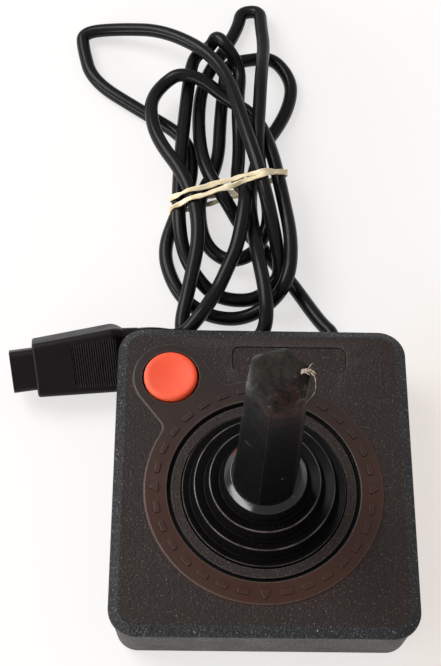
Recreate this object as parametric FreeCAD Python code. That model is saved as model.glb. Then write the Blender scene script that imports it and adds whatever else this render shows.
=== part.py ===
# One-stick joystick controller with a bundled cord and its plug, as separate solids in millimetres.
# The origin is under the middle of the case, +Z is up, +Y points away from the player and +X to
# the player's right. The cord leaves the rear wall, lies in a tied hank behind the case and comes
# back to a plug that lies beside the case's rear left corner.
import FreeCAD, Part
import math
import os
from FreeCAD import Vector

# Case
CASE_WIDTH = 89.0
CASE_LENGTH = 97.8
CASE_HEIGHT = 23.0
CORNER_RADIUS = 8.3
CHAMFER_WIDTH = 2.7
CHAMFER_DEPTH = 1.6
WALL_DRAFT_DEG = 3.5
LID_BAND = 1.2
LOWER_SHELL_STEP = 0.5
BASE_EDGE = 1.5
WALL = 2.2
LID_THICKNESS = 2.4
FLOOR_THICKNESS = 2.0
TONGUE_DEPTH = 2.0
TONGUE_THICKNESS = 1.2
SNUG = 0.15

# Raised frame round the stick and the button, and its marks
STICK_Y = -4.7
BUTTON_EDGE_X = 16.4
BUTTON_EDGE_Y = 17.6
FRAME_HEIGHT = 0.6
FRAME_BEVEL = 0.35
RING_OUTER_RADIUS = 35.3
RING_INNER_RADIUS = 28.55
LOBE_RADIUS = 11.5
NECK_FILLET = 3.0
GROOVE_WIDTH = 1.15
GROOVE_DEPTH = 1.0
MARK_HEIGHT = 0.35
MARK_RADIUS = 32.0
DASHES_PER_QUARTER = 7
DASH_LENGTH = 3.4
DASH_WIDTH = 1.5
TRIANGLE_RADIUS = 2.0
PLATE_WIDTH = 35.2
PLATE_LENGTH = 8.7
PLATE_X = 8.3
PLATE_EDGE_Y = 10.7
PLATE_CORNER = 2.5
PLATE_RECESS = 0.8
PLATE_THICKNESS = 0.4
PLATE_CLEARANCE = 0.2

# Rubber boot, as ridges and valleys of radius and height above the case top
BOOT_HOLE_CLEARANCE = 0.3
BOOT_PROFILE = [(24.2, 0.9), (21.9, 0.2), (20.6, 4.6), (17.6, 3.6), (16.2, 7.6), (13.2, 6.6)]
BOOT_WALL_IN = 0.8
BOOT_WALL_DOWN = 1.0
BOOT_CUT_HEIGHT = 5.6
BOOT_FLANGE_RADIUS = 27.5
BOOT_FLANGE_THICKNESS = 1.2
COLLAR_FOOT_RADIUS = 12.2
COLLAR_RIM_RADIUS = 11.75
COLLAR_TOP_RADIUS = 10.6
COLLAR_FOOT_HEIGHT = 9.6
COLLAR_RIM_HEIGHT = 10.9
CLAMP_RADIUS = 31.0
CLAMP_THICKNESS = 1.6
CLAMP_STUDS = 4
CLAMP_STUD_RADIUS = 1.3
CLAMP_STUD_CIRCLE = 29.2

# Stick: a tapered six-sided grip on a shaft that rocks on a ball
GRIP_FOOT_HEIGHT = 12.3
STICK_TOP_HEIGHT = 75.0
GRIP_SIDES = 6
GRIP_TURN_DEG = -13.0
GRIP_FOOT_RADIUS = 10.2
GRIP_TOP_RADIUS = 8.7
GRIP_EDGE_RADIUS = 2.0
GRIP_TOP_BEVEL = 1.0
GRIP_CAP = 6.0
SHAFT_RADIUS = 4.0
SHAFT_CLEARANCE = 0.1
PIVOT_HEIGHT = 13.0
BALL_RADIUS = 3.5
BALL_CLEARANCE = 0.06
POST_RADIUS = 2.2
POST_TOP_BELOW_PIVOT = 2.4
BELL_RADIUS = 7.0
BELL_HEIGHT = 7.0
BELL_BORE_EXTRA = 0.4
PLATE_DISC_RADIUS = 10.6
PLATE_DISC_THICKNESS = 1.5
PLATE_DISC_BELOW_PIVOT = 2.6
PLATE_DISC_HOLE_RADIUS = 3.4
FOOT_CIRCLE = 9.0
FOOT_RADIUS = 1.5

# Circuit board, spacer film and snap domes
PAD_HEIGHT = 2.0
PAD_RADIUS = 3.0
BOARD_SIDE_GAP = 8.5
BOARD_REAR_GAP = 10.7
BOARD_FRONT_GAP = 14.9
BOARD_THICKNESS = 1.6
BOARD_CORNER = 3.0
FILM_THICKNESS = 0.3
FILM_MARGIN = 2.0
DOME_RADIUS = 4.8
DOME_HEIGHT = 1.6
DOME_WALL = 0.25
DOME_GAP = 0.3
POST_HOLE_CLEARANCE = 0.4

# Fire button
BUTTON_RADIUS = 8.15
BUTTON_GAP = 0.55
BUTTON_RISE = 1.4
BUTTON_RIM_FILLET = 1.1
BUTTON_DISH_RADIUS = 40.0
BUTTON_DISH_DEPTH = 0.55
WELL_WALL = 0.9
WELL_DEPTH = 8.0
BUTTON_FLANGE_EXTRA = 1.1
BUTTON_FLANGE_THICKNESS = 1.4
BUTTON_SKIRT_WALL = 1.75
BUTTON_CROWN = 2.4
STEM_RADIUS = 2.0
SPRING_RADIUS = 5.6
SPRING_WIRE_RADIUS = 0.35
SPRING_TURNS = 6
SPRING_END_GAP = 0.05

# Screws
SCREW_EDGE_X = 7.2
SCREW_EDGE_Y = 7.4
BOSS_RADIUS = 3.0
BOSS_TOP = 12.0
SCREW_RADIUS = 1.2
SCREW_HEAD_RADIUS = 2.2
SCREW_HEAD_HEIGHT = 1.4
SCREW_HEAD_DEPTH = 0.6
SCREW_LENGTH = 15.0
SCREW_CLEARANCE = 0.1

# Cord, its gland in the rear wall and the wires behind it
CORD_RADIUS = 2.25
GLAND_EDGE_X = 20.5
GLAND_Z = 8.0
GLAND_NECK_RADIUS = 2.9
GLAND_COLLAR_RADIUS = 3.6
GLAND_COLLAR_LENGTH = 2.8
GLAND_FLANGE_RADIUS = 4.2
GLAND_FLANGE_LENGTH = 1.6
INNER_CORD_LENGTH = 4.0
WIRE_COUNT = 5
WIRE_RADIUS = 0.5
WIRE_PITCH = 1.4
WIRE_EDGE = 0.05
HEADER_LENGTH = 10.0
HEADER_WIDTH = 4.0
HEADER_HEIGHT = 3.0
HEADER_EDGE_GAP = 6.0

# Hank: one row for each half loop, from its tie crossing round its far end. Each bend has its
# x, y, heading in degrees and height, and two arcs join it to the next.
HANK_START = [(7, 83, 125, 2.5), (-3, 96, 130, 2.5)]
HANK_HALF_LOOPS = [
    [(-13, 109, 120, 9.0), (-20, 153, 85, 3.0), (-7.5, 184, 67, 2.5),
     (-2.4, 193.0, 357, 3.0), (2, 181, 274, 6.5), (0.6, 145, 267, 14.7)],
    [(-0.2, 124, 272, 14.0), (1.5, 92, 250, 7.4), (-4, 85, 205, 6.4),
     (-13, 86, 145, 4.5), (-19, 95, 100, 5.5)],
    [(-18, 114, 65, 4.1), (-12, 155, 85, 2.5), (-6, 170, 15, 2.5),
     (8, 169, 310, 2.5), (12, 153, 255, 2.5)],
    [(-1, 121, 260, 4.1), (1.3, 69, 280, 15.0), (-4, 51.4, 195, 7.5),
     (-20, 51.8, 165, 4.0), (-25.2, 61, 78, 6.4)],
    [(-22, 101, 105, 15.0), (-37, 138, 100, 12.0), (-34, 152, 55, 10.0),
     (-25, 156, 345, 12.0), (-7, 145, 325, 9.5)],
    [(6, 117, 280, 12.0), (10, 78, 265, 12.5), (-1, 65, 205, 4.0),
     (-19, 66, 150, 2.5), (-30, 81, 105, 3.5)],
    [(-25, 110, 70, 4.5), (-31, 140, 145, 2.5), (-62, 171, 105, 2.5),
     (-60, 182, 0, 3.5), (-25, 172, 320, 11.0)],
    [(-1, 115, 285, 19.0), (7, 81, 280, 8.0), (2, 73, 220, 3.5),
     (-11, 71, 165, 2.5), (-22, 80, 120, 5.5)],
    [(-27, 104, 90, 9.5), (-24, 160, 85, 6.5), (-19, 172, 35, 6.0),
     (-13, 173, 305, 11.0), (-6, 160, 265, 4.5)],
]
HANK_END = [(-7, 119, 265, 6.0), (-5, 99, 263, 16.5), (-9.4, 79, 248, 13.8), (-15.6, 65.5, 240, 12.0)]
LEAD_RUN = 4.6
LEAD_POINT = (20.0, 60.2, 6.0)
TAIL_RUN = 4.5
TAIL_POINT = (-25.6, 52.8, 8.6)
JOIN_RUN = 8.0
RUN_SHARE = 0.45

# Rubber band: a line across the hank in plan at a level, from which each turn leans to the player
# as it rises; two turns draw together at the right
BAND_LEFT = (-29.5, 102.3)
BAND_RIGHT = (8.0, 114.3)
BAND_LEVEL = 12.0
BAND_LEAN_DEG = 20.0
BAND_WIDTH = 1.6
BAND_THICKNESS = 0.5
BAND_CLEARANCE = 1.45
BAND_SPREAD_DEG = 3.0
BAND_MARGIN = 9.0

# Plug, lying rolled on its edge beside the rear left corner
PLUG_FRONT = (-71.2, 40.4, 10.27)
PLUG_YAW_DEG = 9.3
PLUG_ROLL_DEG = 41.0
PLUG_FRONT_WIDTH = 17.3
PLUG_REAR_WIDTH = 20.5
PLUG_DEPTH = 11.5
PLUG_STRAIGHT = 24.8
PLUG_LENGTH = 28.5
PLUG_END_WIDTH = 6.0
PLUG_END_DEPTH = 6.4
PLUG_END_RAISE = 6.2
PLUG_CORNER = 2.2
NOSE_WIDTH = 13.9
NOSE_DEPTH = 8.4
NOSE_LENGTH = 7.3
NOSE_CORNER = 2.2
NOSE_TAPER = 1.0
NOSE_WALL = 0.9
CONTACT_PITCH = 2.4
CONTACT_ROW_GAP = 2.6
CONTACT_RADIUS = 0.6
CONTACT_DEPTH = 5.0
CONTACT_RECESS = 0.6
RELIEF_LENGTH = 5.0
RELIEF_REAR_RADIUS = 3.0
RELIEF_END_RADIUS = 2.5

# Worked-out places and levels
SIDE_X = CASE_WIDTH / 2
REAR_Y = CASE_LENGTH / 2
BUTTON_X = BUTTON_EDGE_X - SIDE_X
BUTTON_Y = REAR_Y - BUTTON_EDGE_Y
PLATE_Y = REAR_Y - PLATE_EDGE_Y
BOARD_WIDTH = CASE_WIDTH - 2 * BOARD_SIDE_GAP
BOARD_REAR_Y = REAR_Y - BOARD_REAR_GAP
BOARD_FRONT_Y = BOARD_FRONT_GAP - REAR_Y
SCREW_X = SIDE_X - SCREW_EDGE_X
SCREW_Y = REAR_Y - SCREW_EDGE_Y
GLAND_X = SIDE_X - GLAND_EDGE_X
RIM_Z = CASE_HEIGHT - CHAMFER_DEPTH
PART_Z = RIM_Z - LID_BAND
CEILING_Z = CASE_HEIGHT - LID_THICKNESS
FRAME_Z = CASE_HEIGHT + FRAME_HEIGHT
BOARD_Z = FLOOR_THICKNESS + PAD_HEIGHT
BOARD_TOP = BOARD_Z + BOARD_THICKNESS
FILM_TOP = BOARD_TOP + FILM_THICKNESS
DOME_TOP = BOARD_TOP + DOME_HEIGHT
BOOT_HOLE_RADIUS = BOOT_PROFILE[0][0] + BOOT_HOLE_CLEARANCE
BUTTON_HOLE_RADIUS = BUTTON_RADIUS + BUTTON_GAP
STICK_TOP_Z = CASE_HEIGHT + STICK_TOP_HEIGHT
SHAFT_TOP_Z = STICK_TOP_Z - GRIP_CAP
DISC_TOP = PIVOT_HEIGHT - PLATE_DISC_BELOW_PIVOT
HEADER_Y = BOARD_REAR_Y - HEADER_EDGE_GAP
UP = Vector(0, 0, 1)
BACK = Vector(0, 1, 0)
STICK_AXIS = Vector(0, STICK_Y, 0)
BUTTON_AXIS = Vector(BUTTON_X, BUTTON_Y, 0)
SCREW_PLACES = [(x, y) for x in (-SCREW_X, SCREW_X) for y in (-SCREW_Y, SCREW_Y)]
DOME_PLACES = {
    "dome_up": Vector(0, STICK_Y + FOOT_CIRCLE, 0),
    "dome_down": Vector(0, STICK_Y - FOOT_CIRCLE, 0),
    "dome_left": Vector(-FOOT_CIRCLE, STICK_Y, 0),
    "dome_right": Vector(FOOT_CIRCLE, STICK_Y, 0),
    "dome_fire": BUTTON_AXIS,
}

parts = {}


def disc(radius, z0, z1, place=Vector(0, 0, 0)):
    """Upright cylinder between two heights about a place in plan."""
    return Part.makeCylinder(radius, z1 - z0, place + UP * z0)


def lathe(profile, place):
    """Solid turned from (radius, height) corners about the upright axis at place."""
    corners = [place + Vector(r, 0, z) for r, z in profile]
    face = Part.Face(Part.makePolygon(corners + [corners[0]]))
    return face.revolve(place, UP, 360)


def rounded_outline(corners, radius):
    """Closed wire through corners, each rounded by an arc of the radius."""
    edges = []
    count = len(corners)
    starts = []
    for i, corner in enumerate(corners):
        back = (corners[i - 1] - corner).normalize()
        ahead = (corners[(i + 1) % count] - corner).normalize()
        half = back.getAngle(ahead) / 2
        cut = radius / math.tan(half)
        middle = (back + ahead).normalize()
        inner = corner + middle * (radius / math.sin(half) - radius)
        starts.append((corner + back * cut, inner, corner + ahead * cut))
    for i, (first, inner, last) in enumerate(starts):
        edges.append(Part.Arc(first, inner, last).toShape())
        edges.append(Part.LineSegment(last, starts[(i + 1) % count][0]).toShape())
    return Part.Wire(edges)


def rectangle(width, length, radius, z, centre=(0.0, 0.0)):
    """Round-cornered rectangle wire, lying flat at a height."""
    cx, cy = centre
    corners = [Vector(cx + sx * width / 2, cy + sy * length / 2, z) for sx, sy in
               ((-1, -1), (1, -1), (1, 1), (-1, 1))]
    return rounded_outline(corners, radius)


def prism(wire, height):
    """Solid raised from a flat wire."""
    return Part.Face(wire).extrude(UP * height)


def case_outline(inset, z):
    """The case's plan outline, moved in by an inset at a height."""
    return rectangle(CASE_WIDTH - 2 * inset, CASE_LENGTH - 2 * inset, CORNER_RADIUS - inset, z)


def wall_inset(z):
    """How far the drafted lower wall stands inside the lid's edge at a height."""
    return LOWER_SHELL_STEP + (RIM_Z - z) * math.tan(math.radians(WALL_DRAFT_DEG))


def loft(wires):
    """Straight-sided solid through wires."""
    return Part.makeLoft(wires, True, True)


def arc_edges(points, headings):
    """Two tangent arcs from each point to the next, as edges; headings are unit vectors."""
    edges = []
    for start, end, out, onward in zip(points, points[1:], headings, headings[1:]):
        chord = end - start
        total = out + onward
        a = 2 * (1 - out.dot(onward))
        b = 2 * chord.dot(total)
        c = chord.dot(chord)
        reach = c / b if a < 1e-9 else (-b + math.sqrt(b * b + 4 * a * c)) / (2 * a)
        middle = (start + end + (out - onward) * reach) / 2
        edges.append(arc_from(start, out, middle))
        edges.append(arc_from(middle, None, end, onward))
    return edges


def arc_from(start, out, end, onward=None):
    """Arc from start to end that leaves along out, or arrives along onward."""
    chord = end - start
    along = Vector(chord).normalize()
    tangent = out if out is not None else onward
    side = tangent - along * tangent.dot(along)
    if side.Length < 1e-4:
        return Part.LineSegment(start, end).toShape()
    half = math.atan2(side.Length, tangent.dot(along))
    bulge = Vector(side).normalize() * (chord.Length / 2 * math.tan(half / 2))
    middle = start + chord / 2 + (bulge if out is not None else -bulge)
    return Part.Arc(start, middle, end).toShape()


def rounded_route(points, name):
    """Straight runs joined by tangent arcs, each as large as its two runs allow."""
    edges = []
    last = points[0]
    radii = []
    for before, corner, after in zip(points, points[1:], points[2:]):
        back = before - corner
        ahead = after - corner
        cut = RUN_SHARE * min(back.Length, ahead.Length)
        back.normalize()
        ahead.normalize()
        half = (math.pi - back.getAngle(ahead)) / 2
        radius = cut / math.tan(half)
        radii.append(round(radius, 1))
        first = corner + back * cut
        onward = corner + ahead * cut
        lean = (back + ahead).normalize() * (radius / math.cos(half) - radius)
        edges.append(Part.LineSegment(last, first).toShape())
        edges.append(Part.Arc(first, corner + lean, onward).toShape())
        last = onward
    edges.append(Part.LineSegment(last, points[-1]).toShape())
    print(name, "radii", radii)
    return edges


def tube(edges, radius, name):
    """Round tube swept along tangent edges, with its volume compared with section times length."""
    path = Part.Wire(edges)
    first = edges[0]
    start = first.valueAt(first.FirstParameter)
    circle = Part.Circle(start, first.tangentAt(first.FirstParameter), radius)
    sweep = Part.BRepOffsetAPI.MakePipeShell(path)
    sweep.add(Part.Wire(circle.toShape()))
    sweep.build()
    sweep.makeSolid()
    solid = sweep.shape()
    ideal = math.pi * radius ** 2 * path.Length
    print(name, "length", round(path.Length, 1), "volume ratio", round(solid.Volume / ideal, 4))
    return solid


def heading(degrees, slope=0.0):
    """Unit vector along a plan heading, climbing by a slope."""
    turn = math.radians(degrees)
    return Vector(math.cos(turn), math.sin(turn), slope).normalize()


def plan_gap(a, b):
    """Distance between two points in plan."""
    return math.hypot(a.x - b.x, a.y - b.y)


def frame_outline(height, inset):
    """The raised keyhole frame's solid: ring, straight neck and round lobe, moved in by an inset."""
    neck = BUTTON_AXIS - STICK_AXIS
    base = Vector(STICK_AXIS.x, STICK_AXIS.y, CASE_HEIGHT)
    ring = disc(RING_OUTER_RADIUS - inset, CASE_HEIGHT, CASE_HEIGHT + height, STICK_AXIS)
    lobe = disc(LOBE_RADIUS - inset, CASE_HEIGHT, CASE_HEIGHT + height, BUTTON_AXIS)
    side = LOBE_RADIUS - inset
    bar = Part.makeBox(neck.Length, 2 * side, height, Vector(0, -side, 0))
    bar.rotate(Vector(0, 0, 0), UP, math.degrees(math.atan2(neck.y, neck.x)))
    bar.translate(base)
    body = ring.fuse([lobe, bar]).removeSplitter()
    upright = [e for e in body.Edges if abs(e.tangentAt(e.FirstParameter).z) > 0.99
               and abs((e.CenterOfMass - base).Length - RING_OUTER_RADIUS) < 1]
    return body.makeFillet(NECK_FILLET, upright)


def raised_frame():
    """Keyhole frame with a small bevel round its top edge."""
    low = frame_outline(FRAME_HEIGHT - FRAME_BEVEL, 0)
    high = frame_outline(FRAME_HEIGHT, FRAME_BEVEL)
    frame = low.fuse(high)
    bore = disc(RING_INNER_RADIUS, 0, STICK_TOP_Z, STICK_AXIS)
    return frame.cut(bore)


def frame_marks():
    """Raised dashes round the ring, and a small triangle at each quarter."""
    marks = []
    step = 90 / (DASHES_PER_QUARTER + 1)
    for quarter in range(4):
        for place in range(DASHES_PER_QUARTER):
            turn = 90 * quarter + step * (place + 1)
            dash = prism(rectangle(DASH_WIDTH, DASH_LENGTH, DASH_WIDTH / 4, FRAME_Z, (MARK_RADIUS, 0)),
                         MARK_HEIGHT)
            dash.rotate(Vector(0, 0, 0), UP, turn)
            dash.translate(STICK_AXIS)
            marks.append(dash)
        tip = [Vector(MARK_RADIUS, 0, FRAME_Z) + heading(120 * k) * TRIANGLE_RADIUS for k in range(3)]
        triangle = prism(rounded_outline(tip, MARK_HEIGHT), MARK_HEIGHT)
        triangle.rotate(Vector(0, 0, 0), UP, 90 * quarter)
        triangle.translate(STICK_AXIS)
        marks.append(triangle)
    return marks


def top_shell():
    """Lid with a bevelled edge, the raised frame, the boot and button openings and its inner posts."""
    skin = loft([case_outline(0, PART_Z), case_outline(0, RIM_Z)])
    bevel = loft([case_outline(0, RIM_Z), case_outline(CHAMFER_WIDTH, CASE_HEIGHT)])
    lid = skin.fuse(bevel)
    inner = LOWER_SHELL_STEP + WALL
    cavity = loft([case_outline(inner, PART_Z), case_outline(inner, CEILING_Z)])
    lid = lid.cut(cavity)
    tongue_low = PART_Z - TONGUE_DEPTH
    tongue_out = wall_inset(tongue_low) + WALL + SNUG
    tongue = loft([case_outline(tongue_out, tongue_low), case_outline(tongue_out, CEILING_Z)])
    tongue_in = tongue_out + TONGUE_THICKNESS
    tongue = tongue.cut(loft([case_outline(tongue_in, tongue_low), case_outline(tongue_in, CEILING_Z)]))
    well = disc(BUTTON_HOLE_RADIUS + WELL_WALL, CASE_HEIGHT - WELL_DEPTH, CEILING_Z, BUTTON_AXIS)
    added = [tongue, well, raised_frame()] + frame_marks()
    for x, y in SCREW_PLACES:
        added.append(disc(BOSS_RADIUS, BOSS_TOP, CEILING_Z, Vector(x, y, 0)))
    for stud in clamp_studs(0):
        added.append(stud)
    lid = lid.fuse(added)
    cuts = [disc(BOOT_HOLE_RADIUS, 0, STICK_TOP_Z, STICK_AXIS),
            disc(BUTTON_HOLE_RADIUS, 0, STICK_TOP_Z, BUTTON_AXIS)]
    groove_low = CASE_HEIGHT - GROOVE_DEPTH
    groove = disc(RING_INNER_RADIUS, groove_low, FRAME_Z, STICK_AXIS)
    cuts.append(groove.cut(disc(RING_INNER_RADIUS - GROOVE_WIDTH, groove_low, FRAME_Z, STICK_AXIS)))
    cuts.append(prism(plate_outline(0, CASE_HEIGHT - PLATE_RECESS), FRAME_Z))
    for x, y in SCREW_PLACES:
        cuts.append(disc(SCREW_RADIUS + SCREW_CLEARANCE, 0, screw_top() + SNUG, Vector(x, y, 0)))
    return lid.cut(cuts)


def plate_outline(inset, z):
    """Outline of the bare plate's recess."""
    return rectangle(PLATE_WIDTH - 2 * inset, PLATE_LENGTH - 2 * inset, PLATE_CORNER - inset, z,
                     (PLATE_X, PLATE_Y))


def top_plate():
    """Thin bare plate in its recess."""
    return prism(plate_outline(PLATE_CLEARANCE, CASE_HEIGHT - PLATE_RECESS), PLATE_THICKNESS)


def screw_top():
    """Height of the screws' tips."""
    return SCREW_HEAD_DEPTH + SCREW_LENGTH


def bottom_shell():
    """Drafted tray with screw bosses, board pads, the pivot post and the cord's hole."""
    edge_inset = wall_inset(BASE_EDGE)
    outer = loft([case_outline(edge_inset + BASE_EDGE, 0), case_outline(edge_inset, BASE_EDGE)])
    wall = loft([case_outline(edge_inset, BASE_EDGE), case_outline(wall_inset(PART_Z), PART_Z)])
    outer = outer.fuse(wall)
    cavity = loft([case_outline(wall_inset(FLOOR_THICKNESS) + WALL, FLOOR_THICKNESS),
                   case_outline(wall_inset(PART_Z) + WALL, PART_Z)])
    tray = outer.cut(cavity)
    added = [disc(BOSS_RADIUS, FLOOR_THICKNESS, BOSS_TOP, Vector(x, y, 0)) for x, y in SCREW_PLACES]
    pad_x = BOARD_WIDTH / 2 - PAD_RADIUS
    for x in (-pad_x, pad_x):
        for y in (BOARD_FRONT_Y + PAD_RADIUS, BOARD_REAR_Y - PAD_RADIUS):
            added.append(disc(PAD_RADIUS, FLOOR_THICKNESS, BOARD_Z, Vector(x, y, 0)))
    added.append(disc(POST_RADIUS, FLOOR_THICKNESS, PIVOT_HEIGHT - POST_TOP_BELOW_PIVOT, STICK_AXIS))
    tray = tray.fuse(added)
    seat = Part.makeSphere(BALL_RADIUS + BALL_CLEARANCE, STICK_AXIS + UP * PIVOT_HEIGHT)
    cuts = [seat]
    head_top = SCREW_HEAD_DEPTH + SCREW_HEAD_HEIGHT
    for x, y in SCREW_PLACES:
        place = Vector(x, y, 0)
        cuts.append(disc(SCREW_RADIUS + SCREW_CLEARANCE, 0, BOSS_TOP, place))
        cuts.append(disc(SCREW_HEAD_RADIUS + SCREW_CLEARANCE, 0, head_top, place))
    cuts.append(Part.makeCylinder(GLAND_NECK_RADIUS + SNUG, rear_outside_y() - rear_inside_y(),
                                  Vector(GLAND_X, rear_inside_y(), GLAND_Z), BACK))
    return tray.cut(cuts)


def rear_inside_y():
    """The rear wall's inner face at its deepest point across the cord's flange."""
    return REAR_Y - wall_inset(GLAND_Z - GLAND_FLANGE_RADIUS) - WALL


def rear_outside_y():
    """The rear wall's outer face at its furthest point across the cord's collar."""
    return REAR_Y - wall_inset(GLAND_Z + GLAND_COLLAR_RADIUS)


def case_screw(x, y):
    """Round-headed screw from below."""
    place = Vector(x, y, 0)
    head_top = SCREW_HEAD_DEPTH + SCREW_HEAD_HEIGHT
    return disc(SCREW_HEAD_RADIUS, SCREW_HEAD_DEPTH, head_top, place).fuse(
        disc(SCREW_RADIUS, head_top, screw_top(), place))


def boot_strip(points):
    """Closed corners of the boot wall between an outer run of points and the same run moved in."""
    inner = [(r - BOOT_WALL_IN, z - BOOT_WALL_DOWN) for r, z in points]
    return points + inner[::-1]


def boot_level(z):
    """The boot profile's outer corners at case height plus their own."""
    return CASE_HEIGHT + z


def boot_outer_fold():
    """Lower half of the boot: the flange under the lid, the outer ridge and the second ridge."""
    foot = BOOT_PROFILE[0][0]
    run = [(foot, CEILING_Z)] + [(r, boot_level(z)) for r, z in BOOT_PROFILE[:4]] + [boot_cut_point()]
    wall = lathe(boot_strip(run), STICK_AXIS)
    flange_low = CEILING_Z - BOOT_FLANGE_THICKNESS
    keep = disc(BOOT_FLANGE_RADIUS, flange_low, boot_level(BOOT_CUT_HEIGHT), STICK_AXIS)
    flange = disc(BOOT_FLANGE_RADIUS, flange_low, CEILING_Z, STICK_AXIS)
    flange = flange.cut(disc(foot - BOOT_WALL_IN, 0, STICK_TOP_Z, STICK_AXIS))
    return wall.common(keep).fuse(flange).removeSplitter()


def boot_cut_point():
    """The top of the boot's third riser, past the level of the cut, so that the cut is flat."""
    radius, z = BOOT_PROFILE[4]
    return (radius, boot_level(z))


def boot_inner_fold():
    """Upper part of the boot: the third riser and ridge, up to the collar."""
    run = [(r, boot_level(z)) for r, z in BOOT_PROFILE[3:]]
    run.append((COLLAR_RIM_RADIUS, boot_level(COLLAR_FOOT_HEIGHT) + BOOT_WALL_DOWN))
    wall = lathe(boot_strip(run), STICK_AXIS)
    keep = disc(BOOT_FLANGE_RADIUS, boot_level(BOOT_CUT_HEIGHT), boot_level(COLLAR_FOOT_HEIGHT), STICK_AXIS)
    return wall.common(keep)


def boot_collar():
    """Solid rubber collar that carries the boot round the foot of the grip."""
    bore = SHAFT_RADIUS + SHAFT_CLEARANCE
    profile = [(bore, boot_level(COLLAR_FOOT_HEIGHT)), (COLLAR_FOOT_RADIUS, boot_level(COLLAR_FOOT_HEIGHT)),
               (COLLAR_RIM_RADIUS, boot_level(COLLAR_RIM_HEIGHT)),
               (COLLAR_TOP_RADIUS, boot_level(GRIP_FOOT_HEIGHT)), (bore, boot_level(GRIP_FOOT_HEIGHT))]
    return lathe(profile, STICK_AXIS)


def clamp_studs(clearance):
    """Studs under the lid that hold the boot's clamp ring."""
    studs = []
    for turn in range(CLAMP_STUDS):
        place = STICK_AXIS + heading(45 + 90 * turn) * CLAMP_STUD_CIRCLE
        low = CEILING_Z - BOOT_FLANGE_THICKNESS - CLAMP_THICKNESS - CLAMP_STUD_RADIUS
        studs.append(disc(CLAMP_STUD_RADIUS + clearance, low, CEILING_Z, place))
    return studs


def boot_clamp_ring():
    """Flat ring that presses the boot's flange up against the lid."""
    top = CEILING_Z - BOOT_FLANGE_THICKNESS
    ring = disc(CLAMP_RADIUS, top - CLAMP_THICKNESS, top, STICK_AXIS)
    hole = disc(BOOT_PROFILE[0][0] - BOOT_WALL_IN, 0, top, STICK_AXIS)
    return ring.cut([hole] + clamp_studs(SNUG))


def hexagon(radius, z):
    """Grip section: a turned hexagon with round edges."""
    step = 360 / GRIP_SIDES
    first = GRIP_TURN_DEG - 90
    corners = [STICK_AXIS + heading(first + step * k) * radius + UP * z for k in range(GRIP_SIDES)]
    return rounded_outline(corners, GRIP_EDGE_RADIUS)


def grip_sleeve():
    """Tapered six-sided rubber grip with a bevelled top, closed over the shaft."""
    foot = boot_level(GRIP_FOOT_HEIGHT)
    body = loft([hexagon(GRIP_FOOT_RADIUS, foot), hexagon(GRIP_TOP_RADIUS, STICK_TOP_Z - GRIP_TOP_BEVEL)])
    cap = loft([hexagon(GRIP_TOP_RADIUS, STICK_TOP_Z - GRIP_TOP_BEVEL),
                hexagon(GRIP_TOP_RADIUS - GRIP_TOP_BEVEL, STICK_TOP_Z)])
    return body.fuse(cap).cut(disc(SHAFT_RADIUS + SHAFT_CLEARANCE, 0, SHAFT_TOP_Z, STICK_AXIS))


def stick_shaft():
    """Shaft with a bell foot, hollowed for the ball and the post below it."""
    bell_top = DISC_TOP + BELL_HEIGHT
    shaft = disc(BELL_RADIUS, DISC_TOP, bell_top, STICK_AXIS)
    shaft = shaft.fuse(disc(SHAFT_RADIUS, bell_top, SHAFT_TOP_Z, STICK_AXIS))
    socket = Part.makeSphere(BALL_RADIUS + BALL_CLEARANCE, STICK_AXIS + UP * PIVOT_HEIGHT)
    bore = disc(BALL_RADIUS + BELL_BORE_EXTRA, 0, PIVOT_HEIGHT, STICK_AXIS)
    return shaft.cut([socket, bore])


def actuator_plate():
    """Disc under the bell with four feet, one over each direction dome."""
    low = DISC_TOP - PLATE_DISC_THICKNESS
    plate = disc(PLATE_DISC_RADIUS, low, DISC_TOP, STICK_AXIS)
    feet = [disc(FOOT_RADIUS, DOME_TOP + DOME_GAP, low, place)
            for name, place in DOME_PLACES.items() if name != "dome_fire"]
    return plate.fuse(feet).cut(disc(PLATE_DISC_HOLE_RADIUS, 0, DISC_TOP, STICK_AXIS))


def pivot_ball():
    """Ball that the stick rocks on, trapped between the post and the shaft."""
    return Part.makeSphere(BALL_RADIUS, STICK_AXIS + UP * PIVOT_HEIGHT)


def board_slab(z0, thickness, margin):
    """Round-cornered slab of the circuit board's outline, less a margin."""
    length = BOARD_REAR_Y - BOARD_FRONT_Y
    centre = (0, (BOARD_REAR_Y + BOARD_FRONT_Y) / 2)
    outline = rectangle(BOARD_WIDTH - 2 * margin, length - 2 * margin, BOARD_CORNER, z0, centre)
    hole = disc(POST_RADIUS + POST_HOLE_CLEARANCE, z0, z0 + thickness, STICK_AXIS)
    return prism(outline, thickness).cut(hole)


def dome_film():
    """Thin spacer film with a window round each dome, cut back under the wire header."""
    film = board_slab(BOARD_TOP, FILM_THICKNESS, 0)
    windows = [disc(DOME_RADIUS + DOME_GAP, BOARD_TOP, FILM_TOP, place) for place in DOME_PLACES.values()]
    relief_y = HEADER_Y - HEADER_WIDTH / 2 - FILM_MARGIN
    relief_corner = Vector(GLAND_X - HEADER_LENGTH, relief_y, BOARD_TOP)
    relief = Part.makeBox(BOARD_WIDTH, BOARD_WIDTH, FILM_THICKNESS, relief_corner)
    return film.cut(windows + [relief])


def dome(place):
    """Shallow metal snap dome on the board."""
    sphere_radius = (DOME_RADIUS ** 2 + DOME_HEIGHT ** 2) / (2 * DOME_HEIGHT)
    centre = place + UP * (DOME_TOP - sphere_radius)
    cap = Part.makeSphere(sphere_radius, centre).cut(Part.makeSphere(sphere_radius - DOME_WALL, centre))
    return cap.common(disc(DOME_RADIUS, BOARD_TOP, DOME_TOP, place))


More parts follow.
